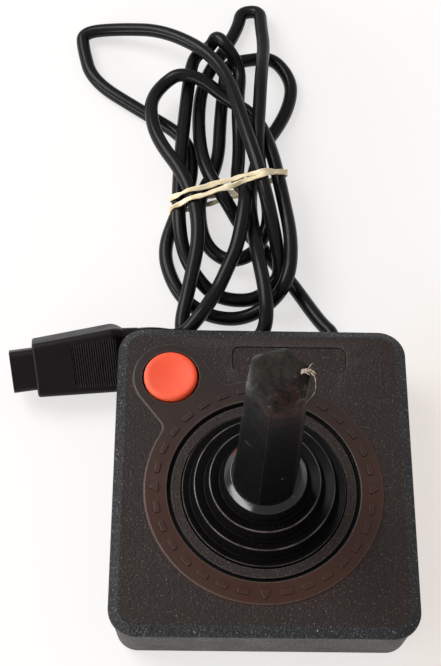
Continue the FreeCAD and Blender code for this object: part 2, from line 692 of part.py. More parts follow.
def fire_button():
    """Round button with a shallow dish, a retaining flange in its well and a stem over its dome."""
    top = FRAME_Z + BUTTON_RISE
    foot = CASE_HEIGHT - WELL_DEPTH
    body = disc(BUTTON_RADIUS, foot - BUTTON_FLANGE_THICKNESS, top, BUTTON_AXIS)
    rim = [e for e in body.Edges if e.CenterOfMass.z > top - 1e-3]
    body = body.makeFillet(BUTTON_RIM_FILLET, rim)
    dish_low = top - BUTTON_DISH_DEPTH
    dish = Part.makeSphere(BUTTON_DISH_RADIUS, BUTTON_AXIS + UP * (dish_low + BUTTON_DISH_RADIUS))
    flange = disc(BUTTON_RADIUS + BUTTON_FLANGE_EXTRA, foot - BUTTON_FLANGE_THICKNESS, foot, BUTTON_AXIS)
    hollow = disc(BUTTON_RADIUS - BUTTON_SKIRT_WALL, 0, top - BUTTON_CROWN, BUTTON_AXIS)
    stem = disc(STEM_RADIUS, DOME_TOP + DOME_GAP, top - BUTTON_CROWN, BUTTON_AXIS)
    return body.cut(dish).fuse(flange).cut(hollow).fuse(stem)


def button_spring():
    """Coil spring round the stem, from the film to the button's crown, in quarter turns."""
    end = SPRING_WIRE_RADIUS + SPRING_END_GAP
    low = FILM_TOP + end
    high = FRAME_Z + BUTTON_RISE - BUTTON_CROWN - end
    quarters = 4 * SPRING_TURNS
    slope = (high - low) / (SPRING_TURNS * 2 * math.pi * SPRING_RADIUS)
    points = []
    headings = []
    for quarter in range(quarters + 1):
        turn = 90 * quarter
        rise = low + (high - low) * quarter / quarters
        points.append(BUTTON_AXIS + heading(turn) * SPRING_RADIUS + UP * rise)
        headings.append(heading(turn + 90, slope))
    return tube(arc_edges(points, headings), SPRING_WIRE_RADIUS, "button_spring")


def cord_strain_relief():
    """Gland in the rear wall: an inner flange, a neck and a short tapered collar outside."""
    inside = rear_inside_y()
    outside = rear_outside_y()
    flange = Part.makeCylinder(GLAND_FLANGE_RADIUS, GLAND_FLANGE_LENGTH,
                               Vector(GLAND_X, inside - GLAND_FLANGE_LENGTH, GLAND_Z), BACK)
    neck = Part.makeCylinder(GLAND_NECK_RADIUS, outside - inside, Vector(GLAND_X, inside, GLAND_Z), BACK)
    collar = Part.makeCone(GLAND_COLLAR_RADIUS, GLAND_NECK_RADIUS, GLAND_COLLAR_LENGTH,
                           Vector(GLAND_X, outside, GLAND_Z), BACK)
    return flange.fuse([neck, collar])


def inner_cord():
    """Short end of the cord's jacket inside the case."""
    start = rear_inside_y() - GLAND_FLANGE_LENGTH
    return Part.makeCylinder(CORD_RADIUS, INNER_CORD_LENGTH, Vector(GLAND_X, start, GLAND_Z), -BACK)


def wire_x(number):
    """A wire's place across the header."""
    return GLAND_X + (number - (WIRE_COUNT - 1) / 2) * WIRE_PITCH


def wire(number):
    """One wire from the jacket's end to the header, bending down into its slot."""
    start_y = rear_inside_y() - GLAND_FLANGE_LENGTH - INNER_CORD_LENGTH
    fan = heading(180 * (1 - number / (WIRE_COUNT - 1))) * (CORD_RADIUS - WIRE_RADIUS - WIRE_EDGE)
    start = Vector(GLAND_X + fan.x, start_y, GLAND_Z + fan.y)
    end = Vector(wire_x(number), HEADER_Y + HEADER_WIDTH / 2, BOARD_TOP + HEADER_HEIGHT / 2)
    return tube(arc_edges([start, end], [-BACK, -BACK]), WIRE_RADIUS, "wire")


def wire_header():
    """Block on the board that takes the wires."""
    return Part.makeBox(HEADER_LENGTH, HEADER_WIDTH, HEADER_HEIGHT,
                        Vector(GLAND_X - HEADER_LENGTH / 2, HEADER_Y - HEADER_WIDTH / 2, BOARD_TOP))


def hank_bends():
    """All bends of the hank in order, as points and headings.

    A heading climbs at its neighbours' slope where the cord rises or falls through the bend, and is
    level at a high or low point, so the cord never sinks below its bends.
    """
    rows = HANK_START + [bend for half_loop in HANK_HALF_LOOPS for bend in half_loop] + HANK_END
    points = [Vector(x, y, z) for x, y, turn, z in rows]
    headings = [heading(rows[0][2])]
    for i in range(1, len(rows) - 1):
        rise_in = points[i].z - points[i - 1].z
        rise_out = points[i + 1].z - points[i].z
        reach = plan_gap(points[i + 1], points[i]) + plan_gap(points[i], points[i - 1])
        slope = (rise_in + rise_out) / reach if rise_in * rise_out > 0 else 0.0
        headings.append(heading(rows[i][2], slope))
    headings.append(heading(rows[-1][2]))
    return points, headings


def least_gap(edges):
    """Least clear distance between the hank and itself, on points about a millimetre apart."""
    samples = []
    travelled = 0.0
    for edge in edges:
        count = max(1, int(edge.Length))
        span = edge.LastParameter - edge.FirstParameter
        for k in range(count):
            point = edge.valueAt(edge.FirstParameter + span * k / count)
            samples.append((travelled + edge.Length * k / count, point.x, point.y, point.z))
        travelled += edge.Length
    near = 6 * CORD_RADIUS
    best = (near, 0, 0, 0)
    for i, (s, x, y, z) in enumerate(samples):
        for other in samples[i + 1:]:
            if other[0] - s < near:
                continue
            if abs(other[1] - x) > near or abs(other[2] - y) > near:
                continue
            distance = math.dist((x, y, z), other[1:])
            if distance < best[0]:
                best = (distance, round(x), round(y), round(z))
    return best[0] - 2 * CORD_RADIUS, best[1:]


def gland_end():
    """Where the cord leaves the gland's collar."""
    return Vector(GLAND_X, rear_outside_y() + GLAND_COLLAR_LENGTH, GLAND_Z)


def cord_lead():
    """Cord from the gland to the hank."""
    points, headings = hank_bends()
    route = [gland_end(), gland_end() + BACK * LEAD_RUN, Vector(*LEAD_POINT)]
    route += [points[0] - headings[0] * JOIN_RUN, points[0]]
    return tube(rounded_route(route, "cord_lead"), CORD_RADIUS, "cord_lead")


def cord_hank(edges):
    """The tied hank: nine half loops as one unbroken tube."""
    return tube(edges, CORD_RADIUS, "cord_hank")


def cord_tail():
    """Cord from the hank to the plug."""
    points, headings = hank_bends()
    plug_end = PLUG_LENGTH + RELIEF_LENGTH
    route = [points[-1], points[-1] + headings[-1] * JOIN_RUN, Vector(*TAIL_POINT)]
    route += [plug_point(plug_end + run, PLUG_END_RAISE, 0) for run in (TAIL_RUN, 0)]
    return tube(rounded_route(route, "cord_tail"), CORD_RADIUS, "cord_tail")


def band_loop(edges, origin, along):
    """One turn of the band: the hull of the cords that cross its leaning plane, as a flat strip."""
    lean = math.radians(BAND_LEAN_DEG)
    level_across = Vector(-along.y, along.x, 0)
    across = level_across * math.cos(lean) + UP * math.sin(lean)
    rise = UP * math.cos(lean) - level_across * math.sin(lean)
    band_length = plan_gap(Vector(*BAND_LEFT, 0), Vector(*BAND_RIGHT, 0))
    centres = []
    for edge in edges:
        span = edge.LastParameter - edge.FirstParameter
        count = max(2, int(edge.Length))
        for k in range(count):
            a = edge.valueAt(edge.FirstParameter + span * k / count)
            b = edge.valueAt(edge.FirstParameter + span * (k + 1) / count)
            side_a = (a - origin).dot(across)
            side_b = (b - origin).dot(across)
            if side_a * side_b > 0 or side_a == side_b:
                continue
            point = a + (b - a) * (side_a / (side_a - side_b))
            reach = (point - origin).dot(along)
            if -BAND_MARGIN < reach < band_length + BAND_MARGIN:
                centres.append((reach, (point - origin).dot(rise)))
    corners = [origin + along * u + rise * v for u, v in convex_hull(centres)]
    hull = Part.Face(Part.makePolygon(corners + [corners[0]]))
    inner = hull.makeOffset2D(CORD_RADIUS + BAND_CLEARANCE)
    outer = hull.makeOffset2D(CORD_RADIUS + BAND_CLEARANCE + BAND_THICKNESS)
    strip = outer.extrude(across * BAND_WIDTH)
    hole = inner.extrude(across * BAND_WIDTH * 3)
    hole.translate(across * -BAND_WIDTH)
    strip = strip.cut(hole)
    strip.translate(across * (-BAND_WIDTH / 2))
    return strip


def convex_hull(points):
    """Corners of the smallest convex outline round 2-D points, in order."""
    ordered = sorted(set(points))

    def half(run):
        chain = []
        for p in run:
            while len(chain) > 1 and turn(chain[-2], chain[-1], p) <= 0:
                chain.pop()
            chain.append(p)
        return chain[:-1]

    def turn(a, b, c):
        return (b[0] - a[0]) * (c[1] - a[1]) - (b[1] - a[1]) * (c[0] - a[0])

    return half(ordered) + half(ordered[::-1])


def rubber_band(edges):
    """Band in two turns that part at the left and meet at the right."""
    left = Vector(*BAND_LEFT, BAND_LEVEL)
    right = Vector(*BAND_RIGHT, BAND_LEVEL)
    middle = math.degrees(math.atan2(right.y - left.y, right.x - left.x))
    turns = []
    for spread in (-BAND_SPREAD_DEG, BAND_SPREAD_DEG):
        along = heading(middle + spread)
        origin = right - along * (right - left).Length
        turns.append(band_loop(edges, origin, along))
    return turns[0].fuse(turns[1])


def plug_axes():
    """Unit vectors along the plug, across its broad face and out of that face."""
    along = heading(PLUG_YAW_DEG)
    level = UP.cross(along)
    roll = math.radians(PLUG_ROLL_DEG)
    across = level * math.cos(roll) + UP * math.sin(roll)
    return along, across, along.cross(across)


def plug_point(a, w, t):
    """Point of the plug from its own lengths: along, across and out of the broad face."""
    along, across, out = plug_axes()
    return Vector(*PLUG_FRONT) + along * a + across * w + out * t


def plug_section(a, width, depth, radius, raised=0.0, taper=0.0):
    """Round-cornered section of the plug, square to its length."""
    corners = [plug_point(a, raised + sw * (width / 2 - (taper if st < 0 else 0)), st * depth / 2)
               for sw, st in ((-1, -1), (1, -1), (1, 1), (-1, 1))]
    return rounded_outline(corners, radius)


def plug_body():
    """Moulded plug body, wider to the rear, with a rounded end drawn in to the relief."""
    front = plug_section(0, PLUG_FRONT_WIDTH, PLUG_DEPTH, PLUG_CORNER)
    rear = plug_section(PLUG_STRAIGHT, PLUG_REAR_WIDTH, PLUG_DEPTH, PLUG_CORNER)
    end = plug_section(PLUG_LENGTH, PLUG_END_WIDTH, PLUG_END_DEPTH, PLUG_CORNER, PLUG_END_RAISE)
    return loft([front, rear]).fuse(loft([rear, end]))


def nose_solid(inset, length):
    """D-shaped nose block in front of the body, less an inset."""
    width = NOSE_WIDTH - 2 * inset
    depth = NOSE_DEPTH - 2 * inset
    corner = NOSE_CORNER - inset
    ends = [plug_section(a, width, depth, corner, taper=NOSE_TAPER) for a in (-length, 0)]
    return loft(ends)


def plug_nose():
    """Shell round the contact block."""
    return nose_solid(0, NOSE_LENGTH).cut(nose_solid(NOSE_WALL, NOSE_LENGTH))


def plug_contacts():
    """Contact block with a row of five holes and a row of four, set back in the nose."""
    along = plug_axes()[0]
    depth = NOSE_LENGTH - CONTACT_RECESS
    block = nose_solid(NOSE_WALL, depth)
    holes = []
    for count, row in ((5, 1), (4, -1)):
        for k in range(count):
            across = (k - (count - 1) / 2) * CONTACT_PITCH
            mouth = plug_point(-NOSE_LENGTH, across, row * CONTACT_ROW_GAP / 2)
            holes.append(Part.makeCylinder(CONTACT_RADIUS, CONTACT_DEPTH + CONTACT_RECESS, mouth, along))
    return block.cut(holes)


def plug_relief():
    """Tapered strain relief between the plug body and the cord."""
    return Part.makeCone(RELIEF_REAR_RADIUS, RELIEF_END_RADIUS, RELIEF_LENGTH,
                         plug_point(PLUG_LENGTH, PLUG_END_RAISE, 0), plug_axes()[0])


def build():
    """Make every piece under its node name."""
    hank_edges = arc_edges(*hank_bends())
    gap, place = least_gap(hank_edges)
    print("hank least gap to itself", round(gap, 2), "near", place)
    parts["top_shell"] = top_shell()
    parts["bottom_shell"] = bottom_shell()
    parts["top_plate"] = top_plate()
    parts["boot_clamp_ring"] = boot_clamp_ring()
    parts["boot_outer_fold"] = boot_outer_fold()
    parts["boot_inner_fold"] = boot_inner_fold()
    parts["boot_collar"] = boot_collar()
    parts["grip_sleeve"] = grip_sleeve()
    parts["stick_shaft"] = stick_shaft()
    parts["actuator_plate"] = actuator_plate()
    parts["pivot_ball"] = pivot_ball()
    parts["circuit_board"] = board_slab(BOARD_Z, BOARD_THICKNESS, 0)
    parts["dome_film"] = dome_film()
    for name, place in DOME_PLACES.items():
        parts[name] = dome(place)
    parts["fire_button"] = fire_button()
    parts["button_spring"] = button_spring()
    for number, (x, y) in enumerate(SCREW_PLACES, 1):
        parts[f"case_screw_{number}"] = case_screw(x, y)
    parts["cord_strain_relief"] = cord_strain_relief()
    parts["inner_cord"] = inner_cord()
    for number in range(WIRE_COUNT):
        parts[f"wire_{number + 1}"] = wire(number)
    parts["wire_header"] = wire_header()
    parts["cord_lead"] = cord_lead()
    parts["cord_hank"] = cord_hank(hank_edges)
    parts["cord_tail"] = cord_tail()
    parts["rubber_band"] = rubber_band(hank_edges)
    parts["plug_body"] = plug_body()
    parts["plug_nose"] = plug_nose()
    parts["plug_contacts"] = plug_contacts()
    parts["plug_relief"] = plug_relief()


def save():
    """Write one file for each piece and print what is there."""
    os.makedirs("parts", exist_ok=True)
    for name, shape in parts.items():
        box = shape.BoundBox
        state = "" if shape.isValid() and len(shape.Solids) == 1 else "CHECK"
        print(name, round(shape.Volume, 1), "z", round(box.ZMin, 2), round(box.ZMax, 2), state)
        shape.exportStep(f"parts/{name}.step")


build()
save()
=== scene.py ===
"""Studio picture of a one-stick joystick controller with its tied cord and its plug.

Sizes are in millimetres until a mesh is written, where MM turns them into metres. The frame is the
model's own: origin under the middle of the case, +Z up, +Y away from the player.
"""
import math

import bmesh
import bpy
import numpy as np
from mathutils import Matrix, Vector
from mathutils.geometry import delaunay_2d_cdt
from numpy.linalg import norm


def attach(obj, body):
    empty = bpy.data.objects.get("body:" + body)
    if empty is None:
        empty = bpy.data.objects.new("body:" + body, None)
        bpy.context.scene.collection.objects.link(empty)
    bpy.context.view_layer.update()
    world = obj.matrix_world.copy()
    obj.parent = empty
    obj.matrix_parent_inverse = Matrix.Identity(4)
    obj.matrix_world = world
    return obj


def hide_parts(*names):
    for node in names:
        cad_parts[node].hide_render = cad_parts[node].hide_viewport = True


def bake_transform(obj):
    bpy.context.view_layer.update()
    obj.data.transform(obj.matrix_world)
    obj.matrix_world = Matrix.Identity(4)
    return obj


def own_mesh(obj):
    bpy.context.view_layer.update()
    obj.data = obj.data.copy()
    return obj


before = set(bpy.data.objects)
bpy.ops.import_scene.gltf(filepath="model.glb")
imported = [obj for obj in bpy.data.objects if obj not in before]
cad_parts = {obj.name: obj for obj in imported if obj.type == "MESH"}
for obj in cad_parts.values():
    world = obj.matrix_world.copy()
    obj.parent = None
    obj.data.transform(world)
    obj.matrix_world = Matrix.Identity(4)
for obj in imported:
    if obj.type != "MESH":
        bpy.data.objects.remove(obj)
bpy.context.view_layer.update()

MM = 0.001
TAU = 2 * math.pi
scene = bpy.context.scene

# Camera at the photograph's place, in metres and degrees
LENS, CLIP_START = 77.46, 0.01
CAMERA_PLACE, CAMERA_TURNS = (-0.0216, -0.1629, 0.4157), (28.12, -1.38, 0.22)

# Case sizes, as in the model
CASE_SIZE, CASE_TOP, CASE_CORNER = (89, 97.8), 23, 8.3
LID_FOOT, LID_RIM, LID_CEILING = 20.2, 21.4, 20.6
CHAMFER, SKIRT = 2.7, 2.7
STICK = np.array([0, -4.7])
BUTTON = np.array([-28.1, 31.3])
PIVOT_TOP, FRAME_TOP = 28.6, 23.6
RING_OUTER, RING_INNER, LOBE, NECK_FILLET = 35.3, 28.55, 11.5, 3
GROOVE_INNER, GROOVE_FLOOR = 27.4, 22
BOOT_HOLE = 24.5
WELL_HOLE, WELL_OUTER, WELL_FOOT = 8.7, 9.6, 15
PLATE_SIZE, PLATE_MIDDLE, PLATE_CORNER, PLATE_FLOOR = (35.2, 8.7), (8.3, 38.2), 2.5, 22.2
MARK_RING, MARK_TOP, DASH_SIZE, DASHES_PER_QUARTER, TRIANGLE = 32, 23.95, (1.5, 3.4), 7, 2
MARK_ROUND, MARK_SINK, DASH_CORNER, TRIANGLE_ROUND = 0.12, 0.1, 0.375, 0.35

# How far the lid's edge strips reach on to the flats, and the ends of the groove's painted shade
RIM_REACH, OUTER_REACH, FRAME_REACH, PLATE_REACH = 0.5, 0.3, 0.9, 0.4
SHADE_RISE, SHADE_DROP = 0.6, 0.3
RING_COLUMNS, WELL_COLUMNS, LEAST_EDGE_ROUND = 240, 120, 0.15

# Boot, collar and button: radius, height and rounding of each corner of the turned sections
OUTER_FOLD = [(27.5, 19.4, 0.1), (27.5, 20.6, 0.1), (24.2, 20.6, 0.1), (24.2, 23.9, 0.4), (21.9, 23.2, 0.25),
              (20.6, 27.6, 0.42), (17.6, 26.6, 0.3), (16.9, PIVOT_TOP, 0.01), (15.75, PIVOT_TOP, 0.01),
              (16.8, 25.6, 0.3), (19.8, 26.6, 0.3), (21.1, 22.2, 0.3), (23.4, 22.9, 0.3), (23.4, 19.4, 0.1)]
INNER_FOLD = [(16.9, PIVOT_TOP, 0.01), (16.2, 30.6, 0.42), (13.2, 29.6, 0.3), (12.11, 32.6, 0.01),
              (11.1, 32.6, 0.01), (12.4, PIVOT_TOP, 0.3), (15.4, 29.6, 0.3), (15.75, PIVOT_TOP, 0.01)]
CRESTS = np.array([(24.2, 23.9), (20.6, 27.6), (16.2, 30.6)])
COLLAR = [(4.1, 32.6, 0.05), (12.2, 32.6, 0.2), (11.95, 33.5, 0.6), (10.2, 35.3, 0.5), (4.1, 35.3, 0.05)]
BUTTON_BORE = [(0, 7.5), (2, 7.5), (2, 22.6), (6.4, 22.6)]
BUTTON_SKIRT = [(6.4, 13.6, 0), (9.25, 13.6, 0.1), (9.25, 15, 0.1), (8.15, 15, 0.05), (8.15, 25, 1.1)]
DISH_REACH, DISH_FOOT, DISH_CURVE = 6.4, 24.45, 40

# Cord: x, y, heading in degrees and height of each bend of the hank, as in the model
CORD_RADIUS, JACKET_RADIUS, CORD_LENGTH = 2.25, 2.35, 1359.4
GLAND_END, LEAD_POINT, TAIL_POINT = (24, 50.6, 8), (20, 60.2, 6), (-25.6, 52.8, 8.6)
LEAD_RUN, JOIN_RUN, TAIL_RUN = 4.6, 8, 4.5
HANK_BENDS = [
    (7, 83, 125, 2.5), (-3, 96, 130, 2.5), (-13, 109, 120, 9), (-20, 153, 85, 3), (-7.5, 184, 67, 2.5),
    (-2.4, 193, 357, 3), (2, 181, 274, 6.5), (0.6, 145, 267, 14.7), (-0.2, 124, 272, 14),
    (1.5, 92, 250, 7.4), (-4, 85, 205, 6.4), (-13, 86, 145, 4.5), (-19, 95, 100, 5.5),
    (-18, 114, 65, 4.1), (-12, 155, 85, 2.5), (-6, 170, 15, 2.5), (8, 169, 310, 2.5), (12, 153, 255, 2.5),
    (-1, 121, 260, 4.1), (1.3, 69, 280, 15), (-4, 51.4, 195, 7.5), (-20, 51.8, 165, 4),
    (-25.2, 61, 78, 6.4), (-22, 101, 105, 15), (-37, 138, 100, 12), (-34, 152, 55, 10),
    (-25, 156, 345, 12), (-7, 145, 325, 9.5), (6, 117, 280, 12), (10, 78, 265, 12.5), (-1, 65, 205, 4),
    (-19, 66, 150, 2.5), (-30, 81, 105, 3.5), (-25, 110, 70, 4.5), (-31, 140, 145, 2.5),
    (-62, 171, 105, 2.5), (-60, 182, 0, 3.5), (-25, 172, 320, 11), (-1, 115, 285, 19), (7, 81, 280, 8),
    (2, 73, 220, 3.5), (-11, 71, 165, 2.5), (-22, 80, 120, 5.5), (-27, 104, 90, 9.5), (-24, 160, 85, 6.5),
    (-19, 172, 35, 6), (-13, 173, 305, 11), (-6, 160, 265, 4.5), (-7, 119, 265, 6), (-5, 99, 263, 16.5),
    (-9.4, 79, 248, 13.8), (-15.6, 65.5, 240, 12),
]

# Domes and spring under the moving parts: place and joint of each dome
BOARD_TOP, FILM_TOP, SPRING_TOP = 5.6, 5.9, 22.6
DOME_RADIUS, DOME_HEIGHT, DOME_WALL, FOOT_CIRCLE = 4.8, 1.6, 0.25, 9
DOMES = {
    "dome_up": (STICK + (0, FOOT_CIRCLE), "stick_tilt_fore_aft"),
    "dome_down": (STICK - (0, FOOT_CIRCLE), "stick_tilt_fore_aft"),
    "dome_left": (STICK - (FOOT_CIRCLE, 0), "stick_tilt_side"),
    "dome_right": (STICK + (FOOT_CIRCLE, 0), "stick_tilt_side"),
    "dome_fire": (BUTTON, "fire_button_press"),
}
SPRING_RADIUS, SPRING_WIRE, SPRING_GAP, SPRING_TURNS, BUTTON_TRAVEL = 5.6, 0.35, 0.4, 6, 1.52

# Plug: its own frame and sizes, as in the model, and its fine ribs
PLUG_FRONT = np.array([-71.2, 40.4, 10.27])
PLUG_YAW, PLUG_ROLL = 9.3, 41
PLUG_LENGTH, PLUG_STRAIGHT, PLUG_RAISE, RELIEF_LENGTH = 28.5, 24.8, 6.2, 5
PLUG_HALF_WIDTH, PLUG_FLARE, PLUG_DEPTH, PLUG_CORNER, NOSE_ROUND = 8.65, 1.6, 11.5, 2, 0.7
SHOULDER_REACH, SHOULDER_DROP, SHOULDER_TURN, SHOULDER_THINNING = 1.6, 2.4, 13.45, 5.1
RIB_START, RIB_PITCH, RIB_SINK, RIB_HEIGHT, RIB_MARGIN, RIB_PAST = 12, 0.72, 0.34, 0.3, 2.7, 1.4
DIMPLE_ALONG, DIMPLE_ACROSS, DIMPLE_DEPTH, DIMPLE_SPREAD = 21.4, -0.2, 0.5, 0.32

# Grip: sizes, lumps, sag, and rubbing, with a painted highlight on the front corner; then each tear's place
# from the stick's axis, depth and reach
GRIP_FOOT, GRIP_SHOULDER, GRIP_CROWN, GRIP_TOP, GRIP_TURN = 35.3, 96.8, 97.65, 98, -103
GRIP_FOOT_RADIUS, GRIP_TOP_RADIUS, GRIP_EDGE, GRIP_ROWS = 10.2, 8.7, 2, 120
SHAFT_BORE, SHAFT_TOP = 4.1, 92
LUMP_LENGTHS, LUMP_HEIGHT, LUMP_MOST, LUMP_FOOT = (6.3, 3.7, 2.3), 0.14, 0.3, 95
SAG_LENGTHS, SAG_DEPTH, WORN_FOOT, FRONT_WEAR_AND_HIGHLIGHT = (9, 4, 2), 0.07, 92.5, 0.55
TEARS = (((7.8, -1.8, 97.4), 1.5, 2.6), ((7.2, 1.6, 97.6), 0.7, 1.3))

# Frayed strands: thickness at the root, and the loose points of each from the stick's axis
STRANDS = [
    (0.34, [(5.7, 1.5, 97.2), (6.4, 1.9, 97.8), (7.2, 1.6, 97.9), (8, 1.1, 97.5), (8.9, 0.5, 97)]),
    (0.3, [(5.9, 1.9, 97.3), (6.7, 1.4, 97.8), (7.6, 1.8, 97.9), (8.6, 1.4, 97.5), (9.2, 1, 97.2)]),
    (0.26, [(5.6, 1.1, 97.1), (6.3, 1.2, 97.8), (7, 0.9, 97.7), (7.7, 0.6, 97.3)]),
    (0.15, [(7, 1.5, 97.6), (7.5, 2.3, 98), (7.9, 3, 98.1), (8.4, 3.5, 98)]),
    (0.11, [(8.6, 1.2, 97.3), (9.1, 0, 96.5), (9.3, -1.5, 95.4), (9.1, -2.7, 94.1), (8.1, -3.7, 92.8),
            (6.7, -4.5, 91.4)]),
    (0.05, [(4.5, -6.4, 92.4), (5.1, -6.2, 90.4), (5.3, -6, 88.6), (5.9, -5.7, 87)]),
]

# Rubber band: where its turns lie, and the strand's thickness and corner
BAND_LEFT, BAND_RIGHT = np.array([-29.5, 102.3, 12]), np.array([8, 114.3, 12])
BAND_SPREAD, BAND_LEAN, BAND_CLEARANCE, BAND_PAST = 3, 20, 0.85, 9
BAND_HALF_WIDTH, BAND_FLAT, BAND_CORNER, BAND_FLOOR = 0.84, 0.06, 0.22, 0.03

# Tints of the five inner wires
WIRE_TINTS = [(0.09, 0.035, 0.015), (0.6, 0.6, 0.58), (0.02, 0.18, 0.05), (0.02, 0.06, 0.3),
              (0.6, 0.17, 0.02)]

# Socket kinds in the shared groups, where they aren't plain numbers
SOCKET_KINDS = {"Place": "Vector", "Colour": "Color", "Speck": "Color"}


def placed(name, data):
    """New object in the scene."""
    made = bpy.data.objects.new(name, data)
    scene.collection.objects.link(made)
    return made


def make_camera():
    """Perspective camera over the player's head, looking down and away."""
    data = bpy.data.cameras.new("camera")
    data.lens = LENS
    data.clip_start = CLIP_START
    camera = placed("camera", data)
    camera.location = CAMERA_PLACE
    camera.rotation_euler = [math.radians(a) for a in CAMERA_TURNS]
    scene.camera = camera


# Shader nodes and the groups shared by the materials
class Nodes:
    """A node tree under work, and the place that its textures read; methods give new nodes' outputs."""

    def __init__(self, tree, place):
        self.tree, self.place = tree, place

    def feed(self, socket, value):
        """Link a socket or give it a value; a colour is opaque."""
        if isinstance(value, bpy.types.NodeSocket):
            self.tree.links.new(value, socket)
        elif socket.type == "RGBA":
            socket.default_value = (*value, 1)
        else:
            socket.default_value = value

    def node(self, kind, links, **settings):
        """New node with its properties set and its sockets fed by name."""
        made = self.tree.nodes.new(kind)
        for key, value in settings.items():
            setattr(made, key, value)
        for key, value in links.items():
            self.feed(made.inputs[key], value)
        return made

    def maths(self, operation, a, b, clamp=False):
        return self.node("ShaderNodeMath", {0: a, 1: b}, operation=operation, use_clamp=clamp).outputs[0]

    def times(self, product, *others):
        """Product of values."""
        for other in others:
            product = self.maths("MULTIPLY", product, other)
        return product

    def vector(self, operation, a, b):
        return self.node("ShaderNodeVectorMath", {0: a, 1: b}, operation=operation).outputs

    def mix(self, factor, a, b, kind="MIX"):
        """Colour between a and b by a factor."""
        links = {0: factor, 6: a, 7: b}
        return self.node("ShaderNodeMix", links, data_type="RGBA", blend_type=kind).outputs[2]

    def span(self, value, low, high, out_low=0, out_high=1):
        """Value stretched from one range to another, and held there."""
        links = {0: value, 1: low, 2: high, 3: out_low, 4: out_high}
        return self.node("ShaderNodeMapRange", links).outputs[0]

    def noise(self, scale, detail=2, rough=0.5, place=None):
        """Fractal noise over the tree's place or another."""
        links = {"Vector": place or self.place, "Scale": scale, "Detail": detail, "Roughness": rough}
        return self.node("ShaderNodeTexNoise", links).outputs[0]

    def coordinate(self, axis):
        return self.node("ShaderNodeSeparateXYZ", {0: self.place}).outputs[axis]


def shader_group(name, inputs, outputs):
    """Nodes of an empty group with named sockets, and its inputs and outputs."""
    tree = bpy.data.node_groups.new(name, "ShaderNodeTree")
    for way, labels in (("INPUT", ("Place", *inputs)), ("OUTPUT", outputs)):
        for label in labels:
            kind = "NodeSocket" + SOCKET_KINDS.get(label, "Float")
            tree.interface.new_socket(label, in_out=way, socket_type=kind)
    given, out = tree.nodes.new("NodeGroupInput").outputs, tree.nodes.new("NodeGroupOutput").inputs
    return Nodes(tree, given["Place"]), given, out


def make_grain():
    """Moulded grain: noise for the height, its peaks rubbed paler, and slow patches of shade."""
    inputs = ("Fineness", "Colour", "Speck", "Specks")
    n, given, out = shader_group("moulded grain", inputs, ("Colour", "Height"))
    fine = n.noise(given["Fineness"], 3, 0.65)
    coarse = n.noise(n.times(given["Fineness"], 0.45), 2, 0.6)
    rubbed = n.times(n.span(fine, 0.6, 0.74), given["Specks"])
    patch = n.times(n.span(n.noise(55, 3, 0.6), 0.3, 0.7), 0.3)
    darker = n.mix(1, given["Colour"], (0.62, 0.6, 0.6), "MULTIPLY")
    n.feed(out["Colour"], n.mix(rubbed, n.mix(patch, given["Colour"], darker), given["Speck"]))
    n.feed(out["Height"], n.maths("ADD", n.times(fine, 0.6), n.times(coarse, 0.4)))
    return n.tree


def make_handling():
    """Handling marks: smudges from slow noise, and dust specks where fast noise peaks."""
    n, given, out = shader_group("handling marks", ("Size", "Dust"), ("Smudge", "Dust"))
    n.feed(out["Smudge"], n.span(n.noise(given["Size"], 4, 0.62), 0.35, 0.68))
    grit = n.span(n.noise(n.times(given["Size"], 14)), 0.68, 0.76)
    n.feed(out["Dust"], n.times(grit, given["Dust"]))
    return n.tree


def make_scratches():
    """Fine scratches: noise drawn out along one way, kept only at its thin crests and in patches."""
    n, given, out = shader_group("fine scratches", ("Turn", "Width", "Amount"), ("Mask",))
    links = {"Vector": n.place, "Angle": given["Turn"]}
    rotated = n.node("ShaderNodeVectorRotate", links, rotation_type="Z_AXIS").outputs[0]
    drawn = n.vector("MULTIPLY", rotated, (0.02, 1, 0.3))[0]
    lines = n.span(n.noise(given["Width"], 1, 0.4, drawn), 0.7, 0.78)
    where = n.span(n.noise(70), 0.5, 0.62)
    n.feed(out["Mask"], n.times(lines, where, given["Amount"]))
    return n.tree


class Finish(Nodes):
    """A material under work: its tree, its object coordinates and its Principled shader."""

    def __init__(self, name, **plain):
        self.material = bpy.data.materials.new(name)
        self.material.use_nodes = True
        tree = self.material.node_tree
        super().__init__(tree, tree.nodes.new("ShaderNodeTexCoord").outputs["Object"])
        self.shader = tree.nodes["Principled BSDF"]
        self.set(**plain)

    def set(self, **values):
        """Feed the shader's sockets; names with spaces are written with _."""
        for key, value in values.items():
            self.feed(self.shader.inputs[key.replace("_", " ")], value)

    @property
    def edge(self):
        """How near the surface is to a rounded edge."""
        return self.node("ShaderNodeAttribute", {}, attribute_name="edge").outputs["Fac"]

    def group(self, which, **values):
        """Outputs of one of the shared groups."""
        return self.node("ShaderNodeGroup", {"Place": self.place, **values}, node_tree=which).outputs

    def done(self, colour, rough, height, depth):
        """The material, once its colour, roughness and relief are fed."""
        bump = self.node("ShaderNodeBump", {"Height": height, "Distance": depth, "Strength": 1}).outputs[0]
        self.set(Base_Color=colour, Roughness=rough, Normal=bump)
        return self.material


